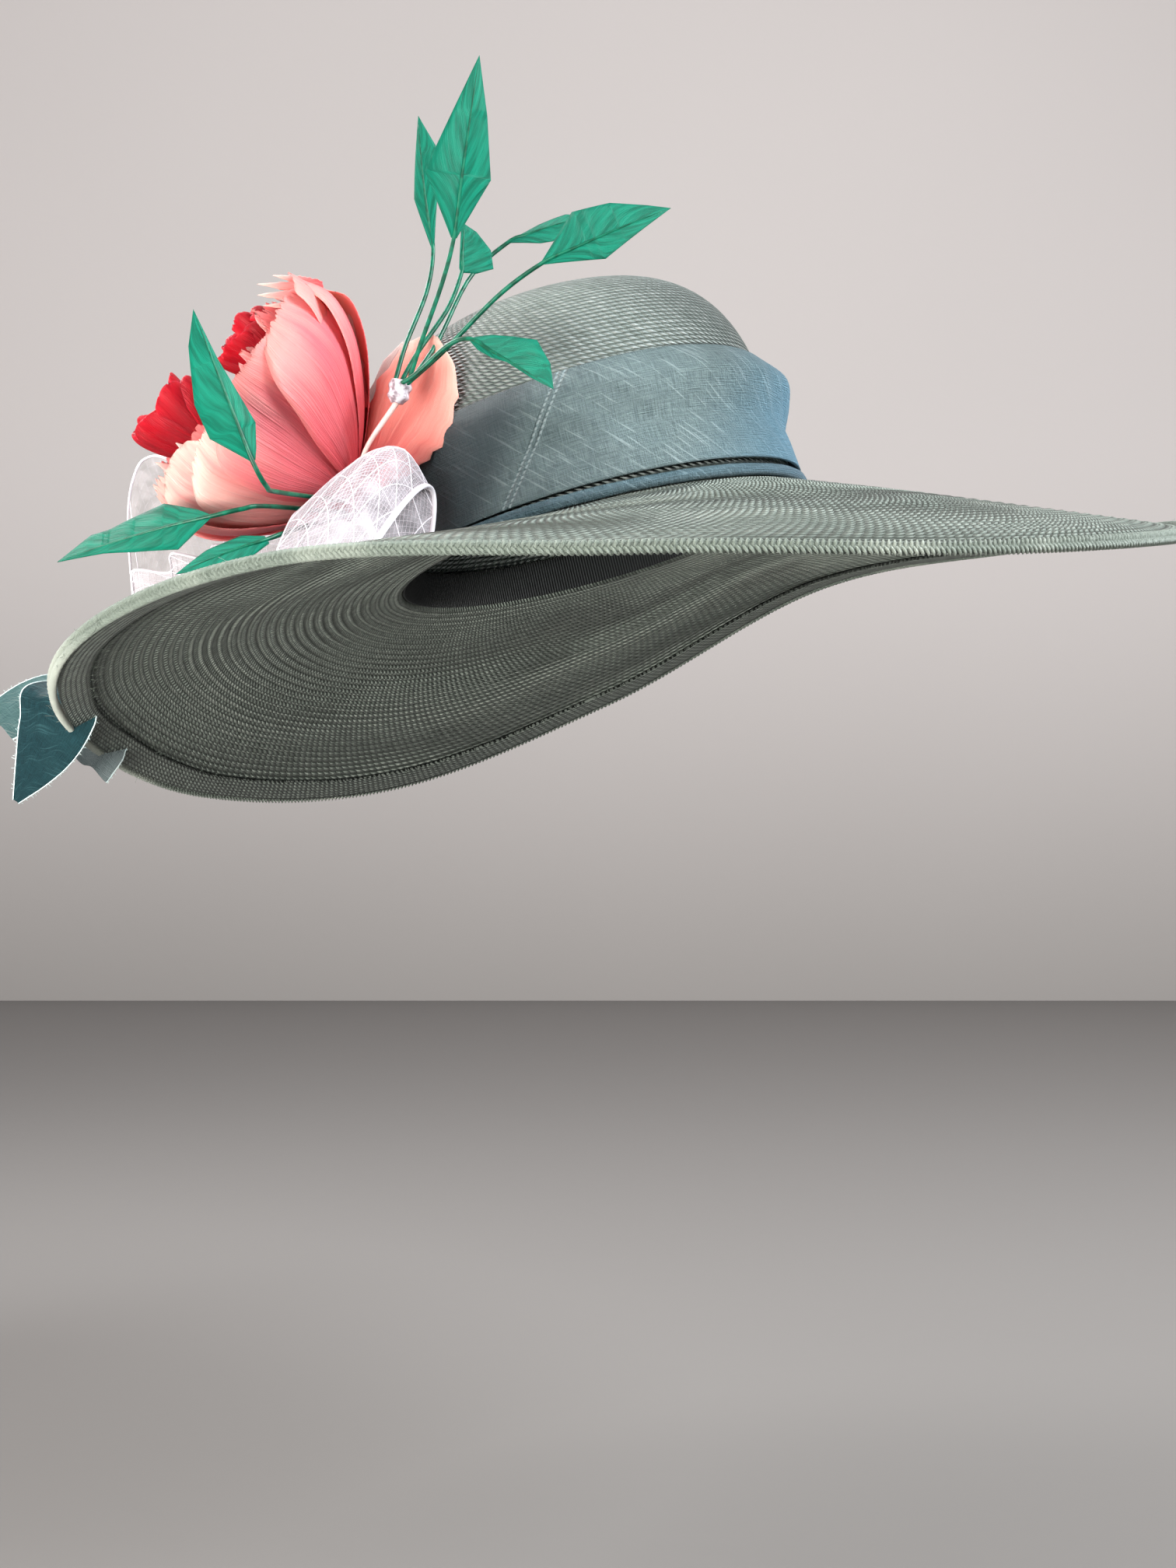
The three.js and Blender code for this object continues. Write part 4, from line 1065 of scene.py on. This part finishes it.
# %% Where the leaves stand: blade foot and tip as shares of the crown, and their cut outlines
wrap_foot = by_crown(-1.175, -0.445, 0.56)
wrap_axis = Vector((0.35, -0.25, 0.9)).normalized()
WRAP_HEIGHT = 8.6
wrap_top = wrap_foot + wrap_axis * WRAP_HEIGHT
UPPER = {
    "leaf_tall": dict(
        base=(-0.8, -0.635, 1.128), tip=(-0.56, -0.82, 1.782), facing=(-0.5, -0.86, -0.1),
        before=[(0, 0.015), (0.34, 0.206), (1, 0)],
        after=[(0, 0.015), (0.336, 0.156), (0.675, 0.09), (1, 0)]),
    "leaf_slim": dict(
        base=(-0.72, -0.33, 1.2), tip=(-0.63, -0.335, 1.754), facing=(-0.8, -0.5, 0),
        before=[(0, 0.01), (0.4, 0.1), (1, 0)], after=[(0, 0.01), (0.5, 0.12), (0.72, 0.13), (1, 0)]),
    "leaf_half": dict(
        base=(-0.685, -0.46, 1.05), tip=(-0.62, -0.48, 1.24), facing=(-0.5, -0.86, 0),
        before=[(0, 0.02), (0.1, 0.05), (0.9, 0.06), (1, 0.0)],
        after=[(0, 0.3), (0.12, 0.62), (0.5, 0.55), (0.85, 0.25), (1, 0)]),
    "leaf_small": dict(
        base=(-0.35, -0.4, 1.185), tip=(0.01, -0.576, 1.21), facing=(-0.3, -0.6, 0.5),
        before=[(0, 0.01), (0.4, 0.12), (0.75, 0.17), (1, 0.02)],
        after=[(0, 0.01), (0.35, 0.2), (0.5, 0.24), (1, 0)]),
    "leaf_reaching": dict(
        base=(-0.58, -0.94, 0.9), tip=(-0.035, -1.21, 0.986), facing=(-0.4, -0.9, 0.1),
        before=[(0, 0.015), (0.334, 0.27), (0.61, 0.215), (0.85, 0.09), (1, 0)],
        after=[(0, 0.015), (0.42, 0.16), (0.8, 0.055), (1, 0)]),
    "leaf_drooping": dict(
        base=(-0.955, -0.8, 0.673), tip=(-0.78, -1.075, 0.37), facing=(-0.6, -0.75, 0.3),
        before=[(0, 0.01), (0.14, 0.13), (0.34, 0.22), (0.55, 0.3), (0.81, 0.18), (1, 0)],
        after=[(0, 0.01), (0.14, 0.05), (0.31, 0.05), (0.47, 0.015), (0.76, 0.02), (1, 0)]),
}
LOWER = {
    "leaf_upright": dict(
        base=(-2.03, -0.585, 0.35), tip=(-2.1, -0.5, 0.96), facing=(-0.5, -0.86, -0.1), turn=243,
        before=[(0, 0.01), (0.226, 0.187), (0.45, 0.197), (0.8, 0.106), (1, 0)],
        after=[(0, 0.02), (0.065, 0.05), (0.21, 0.1), (0.37, 0.076), (0.66, 0.03), (1, 0)]),
    "leaf_outer": dict(
        base=(-2.119, -0.254, 0.246), tip=(-2.678, 0.234, 0.256), facing=(-0.45, -0.8, 0.4), turn=214,
        before=[(0, 0.01), (0.216, 0.157), (0.485, 0.104), (0.69, 0.05), (1, 0)],
        after=[(0, 0.01), (0.09, 0.074), (0.31, 0.188), (0.52, 0.14), (0.66, 0.105), (0.78, 0.11), (1, 0)]),
    "leaf_short": dict(
        base=(-1.95, -0.4, 0.1), tip=(-2.39, -0.35, 0.023), facing=(-0.4, -0.8, 0.4), turn=220,
        before=[(0, 0.05), (0.25, 0.14), (0.6, 0.12), (1, 0)],
        after=[(0, 0.05), (0.2, 0.16), (0.6, 0.13), (1, 0)]),
}


# %% [markdown]
# The quill runs on into the blade and gets thinner there. It could be a curve with a bevel, but a
# rod helper makes a closed mesh at once. The upper quills spread from the wrap in the order of
# their leaves, so none of them cross inside it.

# %% Leaf with its quill
def leaf(name, row, foot, via):
    base, tip = by_crown(*row["base"]), by_crown(*row["tip"])
    facing = Vector(row["facing"]).normalized()
    length = (tip - base).length
    part = blade(name, base, tip, facing, row["before"], row["after"],
                 bulge=0.03 * length, fold=0.08, cup=0.05, ripple=0.03, columns=10)
    hand_over(part, leaf_finish, "green_feather", name)
    ahead = (tip - base).normalized()
    reach = (base - foot).length / 3
    nearly = base.lerp(via, 0.4).lerp(base - ahead * reach, 0.25)
    control = base.lerp(tip, 0.5) + facing * 2 * 0.03 * length
    spine = [base * (1 - t) ** 2 + control * 2 * t * (1 - t) + tip * t * t for t in (0.25, 0.5, 0.75, 0.93)]
    way = [foot, via, nearly, base] + spine
    quill = rod(name + "_quill", way, lambda share: 1.0 - 0.78 * smooth(0.25, 1, share), sides=8, count=40)
    return hand_over(quill, quill_finish, "green_feather")


ring_side = wrap_axis.cross(Vector((0, 1, 0))).normalized()
ring_up = wrap_axis.cross(ring_side)


def spread_turn(row):
    toward = by_crown(*row["base"]) - wrap_top
    return math.degrees(math.atan2(toward.dot(ring_up), toward.dot(ring_side))) % 360


in_order = sorted(UPPER, key=lambda name: spread_turn(UPPER[name]))
apart = 360 / len(in_order)
start_turn = sum(spread_turn(UPPER[name]) - apart * i for i, name in enumerate(in_order)) / len(in_order)
for i, name in enumerate(in_order):
    turn = math.radians(start_turn + apart * i)
    quill_foot = wrap_top - wrap_axis * 3 + (ring_side * math.cos(turn) + ring_up * math.sin(turn)) * 2.6
    leaf(name, UPPER[name], quill_foot, quill_foot.lerp(by_crown(*UPPER[name]["base"]), 0.3))
LOWER_WAYS = [Vector((-158, -40, 29)), Vector((-159, -28, 27)), Vector((-150, -30, 16))]
for i, (name, row) in enumerate(LOWER.items()):
    quill_foot = in_peony((-0.15 - 0.25 * i) * 10, 8.6, row["turn"])
    leaf(name, row, quill_foot, LOWER_WAYS[i])


# %% [markdown]
# A few turns of clear film hold the upper quills together over one bare, pinkish quill. The wrap is
# a rod with a slightly uneven width, glossy and a little see-through.

# %% Clear wrap and bare quill
wrap_finish = mottled(
    "clear_wrap", (0.24, 0.19, 0.22), (0.72, 0.68, 0.74), 420, 0.0006, 0.8, sharp=True, detail=3,
    Roughness=0.16, Alpha=0.86)
wrap = rod("clear_wrap_turns", [wrap_foot + wrap_axis * rise for rise in (-0.5, 3, 6, WRAP_HEIGHT)],
           lambda share: 2.6 + 1.9 * smooth(0, 0.3, share) + 0.3 * math.sin(share * 11), sides=16, count=40)
hand_over(wrap, wrap_finish, "clear_wrap", "quill_wrap")
quill_end = in_peony(-3, 8.9, 272)
bare = rod("bare_quill_shaft", [wrap_foot, wrap_foot.lerp(quill_end, 0.5) + Vector((-4.4, 0, 0)), quill_end],
           lambda share: 1.25 - 0.5 * share, sides=10, count=24)
pale_quill = mottled(
    "pale_quill", (0.72, 0.36, 0.34), (0.95, 0.72, 0.68), 190, 0.0002, 0.4, Roughness=0.3)
hand_over(bare, pale_quill, "clear_wrap", "bare_quill")

# %% [markdown]
# ## Veil
# The veil is stiff crin: a net of fine threads with thick bright threads that cross it in long
# diamonds. A picture of a net on a plain sheet would vanish seen from the edge, so the net is a
# real lattice: a grid turned into threads by the Wireframe modifier, with rods for the thick ones.


# %% Veil finishes
def net_thread(name, first, second, sheer=None):
    return mottled(name, first, second, 160, 0.0001, 0.3, sheer=sheer, Roughness=0.5)


fine_thread = net_thread("fine_thread", (0.5, 0.46, 0.5), (0.72, 0.68, 0.73))
bright_thread = net_thread("bright_thread", (0.62, 0.58, 0.63), (0.86, 0.84, 0.88))
veil_film = net_thread("veil_film", (0.55, 0.48, 0.52), (0.75, 0.7, 0.75), sheer=0.2)
clear_film = net_thread("clear_film", (0.6, 0.57, 0.58), (0.75, 0.72, 0.74), sheer=0.07)


# %% [markdown]
# One function places a net's points; film, fine threads and thick threads all use it, so they stay
# on the same curved patch. The threads are real rods and catch the light as crin does.

# %% Net on a curved patch
def net(name, node, place, across, along, cell=1.7, lines=7, edges=(), wire=0.24, film_finish=veil_film):
    """Film, fine lattice and thick crossing threads on one curved patch; sizes in millimetres."""
    film = surface(name, 24, 24, place, (across, along))
    thicken(film, 0.2)
    hand_over(film, film_finish, "veil", node)
    mesh = surface(name + "_lattice", round(across / cell), round(along / cell), place)
    modify(mesh, "WIREFRAME", thickness=wire, use_even_offset=False, use_boundary=True)
    hand_over(mesh, fine_thread, "veil")
    threads = []
    for i in range(-lines, 2 * lines):
        for lean in (1, -1):
            track = []
            for step in range(25):
                y = step / 24
                x = (i + 0.5) / lines + lean * y * 0.75 + 0.02 * math.sin(5 * y + i)
                if 0 <= x <= 1:
                    track.append(place(x, y))
            if len(track) > 3:
                threads.append(rod("thread", track, 0.3, sides=5, count=len(track) * 2, flat=0.6))
    for x_from, y_from, x_to, y_to, radius in edges:
        track = [place(mix(x_from, x_to, s / 24), mix(y_from, y_to, s / 24)) for s in range(25)]
        threads.append(rod("thread", track, radius, sides=8, count=60, flat=0.6))
    hand_over(join(name + "_threads", threads), bright_thread, "veil")


# %% [markdown]
# The loop is a cornet that opens toward the crown, the fan stands in pleats beside the flower, and
# the fin is almost clear with a corded edge. Each is a curve from foot to foot, swept sideways.

# %% Veil loop, fan and fin
LOOP_RIDGE = [Vector(place) for place in (
    (-145, -24, 24), (-128, -34, 35), (-114, -43, 41), (-103, -46, 39), (-96, -44, 24))]
FAN_HEIGHTS = [0.7, 0.8, 0.66, 0.9, 0.76, 1, 0.8, 1, 0.7]
FIN_HEIGHTS = [0.12, 0.72, 0.95, 1, 0.95, 0.8, 0.5]


def loop_place(x, y):
    front = brim_point(mix(199, 204, y), mix(0.7, 0.44, y), STRAW / 2 + 1)
    behind = brim_point(mix(191, 200, y), mix(0.5, 0.15, y), STRAW / 2 + 1)
    ridge = through(LOOP_RIDGE, y)
    control = ridge * 2 - front.lerp(behind, 0.5)
    return front * (1 - x) ** 2 + control * 2 * x * (1 - x) + behind * x * x


def fan_place(x, y):
    pleat = 0.02 * math.cos(math.pi * 8 * x)
    share = mix(0.42, 0.8, x) - pleat - 0.02 * y
    return brim_point(mix(182, 168, x), share, STRAW / 2 + 1 + y * through(FAN_HEIGHTS, x) * 30)


def fin_place(x, y):
    share = mix(0.7, 0.38, x) + 0.08 * y
    return brim_point(mix(151, 146, x), share, STRAW / 2 + 1 + y * through(FIN_HEIGHTS, x) * 100)


net("veil_loop_film", "veil_loop", loop_place, 100, 55, lines=6, edges=((0, 1, 1, 1, 1.5), (0, 0, 1, 0, 0.5)))
net("veil_fan_film", "veil_fan", fan_place, 95, 26, lines=6, edges=((0, 1, 1, 1, 0.8),))
net("veil_fin_film", "veil_fin", fin_place, 50, 80, cell=3.2, lines=1,
    edges=((0, 0, 0, 1, 0.6), (0, 1, 1, 1, 0.8)), wire=0.12, film_finish=clear_film)

# %% [markdown]
# ## Sash
# At the back a teal sash is knotted and its ends lie over the brim and stick out past it. Cut silk
# frays: its edge is a pale fuzzy line. Each end is a sheet laid along a few stations, with a soft
# fold down its length, and a row of short loose threads stands along its edges.

# %% Sash finishes
teal_silk = slubbed_silk(
    "teal_silk", (0.012, 0.06, 0.075), (0.035, 0.15, 0.18), (0.12, 0.34, 0.37), weave=1.2)
aqua_silk = slubbed_silk("aqua_silk", (0.1, 0.25, 0.26), (0.28, 0.5, 0.5), (0.66, 0.8, 0.78), weave=1.2)
pale_silk = slubbed_silk("pale_silk", (0.3, 0.4, 0.42), (0.5, 0.6, 0.62), (0.75, 0.82, 0.82), weave=1.2)
frayed_silk = net_thread("frayed_silk", (0.5, 0.72, 0.73), (0.93, 1.0, 0.98))

# %% [markdown]
# The sash is knotted against the roll at the back. A closed grid round an upright line is enough:
# folds turn round it like the cloth in a knot, and its ends close in a point.

# %% Knot
KNOT_ANGLE = 126
KNOT_RADIUS = 9
KNOT_HEIGHT = 24
TAIL_WIDTH = 34
HANGING_SIDE = Vector((0.64, -0.29, -0.72))
KNOT_FLAT = KNOT_RADIUS * math.cos(math.pi / 8)
KNOT_INSIDE = BAND_INSIDE + ROLL_DIAMETER + GAP


def beside_knot(offset, height):
    place = oval(KNOT_ANGLE, KNOT_INSIDE + offset, 0)
    reach = (rim(KNOT_ANGLE) - oval(KNOT_ANGLE, COLLAR, 0)).to_2d().length
    place.z = brim_point(KNOT_ANGLE, (KNOT_INSIDE + offset - COLLAR) / reach).z + STRAW / 2 + height
    return place


knot_middle = beside_knot(KNOT_FLAT, 0)
knot_foot = beside_knot(0, 0.4).z
knot_out = outward(knot_middle)
knot_side = Vector((-knot_out.y, knot_out.x, 0))


def knot_place(x, y):
    turn = 2 * math.pi * x
    rise = math.sin(math.pi * y)
    end = 0 if y in (0, 1) else 1
    fold = 0.9 * math.sin(5 * turn + 4 * y) + 0.5 * math.sin(9 * turn - 3 * y)
    radius = end * (KNOT_RADIUS * 0.55 + KNOT_RADIUS * 0.42 * rise**0.5 + fold * 0.5)
    z = knot_foot + KNOT_HEIGHT * (0.5 - 0.5 * math.cos(math.pi * y))
    spot = Vector((knot_middle.x, knot_middle.y, z))
    return spot + (knot_out * math.cos(turn) + knot_side * math.sin(turn)) * radius


knot = surface("sash_knot_folds", 40, 20, knot_place, (56, 26), closed=True)
hand_over(knot, teal_silk, "teal_silk", "sash_knot")

# %% [markdown]
# Each end of the sash is given by a few stations with a place and a width. Beyond the rim the long
# one twists until its flat side faces forward. Cloth simulation would let it hang straight down,
# but the real ones are stiff enough to stick out.

# %% Tails: angle round the hat, share of the brim, height above its slope, width as a share
TAILS = {
    "sash_tail_long": dict(finish=teal_silk, foot=8, stations=[
        (136, 0.5, 6, 0.8), (146, 0.85, 16, 1), (150.5, 1.02, 10, 1.05), (149.5, 1.09, -1, 0.85),
        (149, 1.16, -14, 0.5), (148.5, 1.23, -26, 0.08)]),
    "sash_tail_short": dict(finish=aqua_silk, foot=19, stations=[
        (132, 0.5, 18, 0.5), (140, 0.85, 27, 0.7), (144.5, 1.06, 26, 0.72), (146, 1.27, 15, 0.6)]),
    "sash_tail_inner": dict(finish=pale_silk, foot=6, stations=[
        (124, 0.55, 5, 0.6), (134, 0.88, 8, 0.8), (140, 1.03, 6, 0.9), (142, 1.07, -6, 0.75)]),
}


def tail_line(row):
    """Middle points, side directions and half widths of a tail, one for each station."""
    foot = beside_knot(2 * KNOT_FLAT + 0.7, row["foot"])
    middles = [foot] + [brim_point(a, share, STRAW / 2 + lift) for a, share, lift, _ in row["stations"]]
    angles = [KNOT_ANGLE] + [station[0] for station in row["stations"]]
    widths = [0.3] + [station[3] for station in row["stations"]]
    sides = []
    for i, a in enumerate(angles):
        along_rim = Vector((-math.sin(math.radians(a)), math.cos(math.radians(a)), 0))
        sides.append(along_rim.lerp(HANGING_SIDE, [0, 0, 0, 0.75, 1, 1, 1][i]).normalized())
    return middles, sides, widths


for name, row in TAILS.items():
    middles, sides, widths = tail_line(row)

    def tail_place(x, y, middles=middles, sides=sides, widths=widths):
        u = 2 * x - 1
        middle = through(middles, y)
        half = through(widths, y) * TAIL_WIDTH / 2
        fold = 1.1 * math.cos(2.2 * math.pi * u + 3 * y) - 2 * u * u
        return middle + through(sides, y) * u * half + Vector((0, 0, fold * min(half / 12, 1)))

    run = sum((b - a).length for a, b in zip(middles, middles[1:]))
    tail = surface(name + "_cloth", 16, 48, tail_place, (TAIL_WIDTH, run))
    thicken(tail, 0.7)
    hand_over(tail, row["finish"], "teal_silk", name)
    fringe = []
    for x in (0.0, 1.0):
        track = [tail_place(x, step / 60) for step in range(61)]
        fringe.append(rod("fray", track, 0.42, sides=5, count=120))
    for i in range(140):
        x = chance.choice((0.0, 1.0))
        y = chance.random()
        start = tail_place(x, y)
        lean = (start - tail_place(0.5, y)).normalized() + scatter(0.6)
        fringe.append(rod("fray", [start, start + lean * chance.uniform(0.5, 1.5)], 0.11, sides=3, count=2))
    hand_over(join(name + "_fray", fringe), frayed_silk, "teal_silk")
    area = run * TAIL_WIDTH * sum(widths) / len(widths) * 1e-6

# %% [markdown]
# ## Loose straw
# Cut ends of straw work out of the plait and of the hem's inner edge. They are a handful of thin
# bent splints, placed with a seeded random number so that every run gives the same hat.

# %% Loose splints
loose = []
for i in range(150):
    angle = chance.uniform(0, 360)
    middle, out = plait_middle(angle)
    start = middle + Vector((0, 0, chance.uniform(-2, 2))) + out * 1.2
    lean = out * chance.uniform(0.2, 1) + scatter(0.7)
    size = chance.uniform(1, 3.4) if i % 9 else chance.uniform(4, 7)
    bent = start + lean * size * 0.5 + Vector((0, 0, chance.uniform(-0.8, 0.8)))
    loose.append(rod("splint", [start, bent, start + lean * size], 0.13, sides=4, count=4, flat=0.5))
for i in range(220):
    angle = chance.uniform(0, 360)
    start = hem_place(angle / 360, 0.0) - Vector((0, 0, 0.5))
    inward = (brim_point(angle, 0.8) - start).normalized()
    lean = inward * chance.uniform(0.3, 1) + scatter(0.5)
    lean.z -= 0.25
    size = chance.uniform(1.5, 4.5)
    route = [start - inward, start + lean * size * 0.5, start + lean * size]
    loose.append(rod("splint", route, 0.14, sides=4, count=4, flat=0.5))
hand_over(join("loose_straw", loose), edge_straw, "straw_edge")
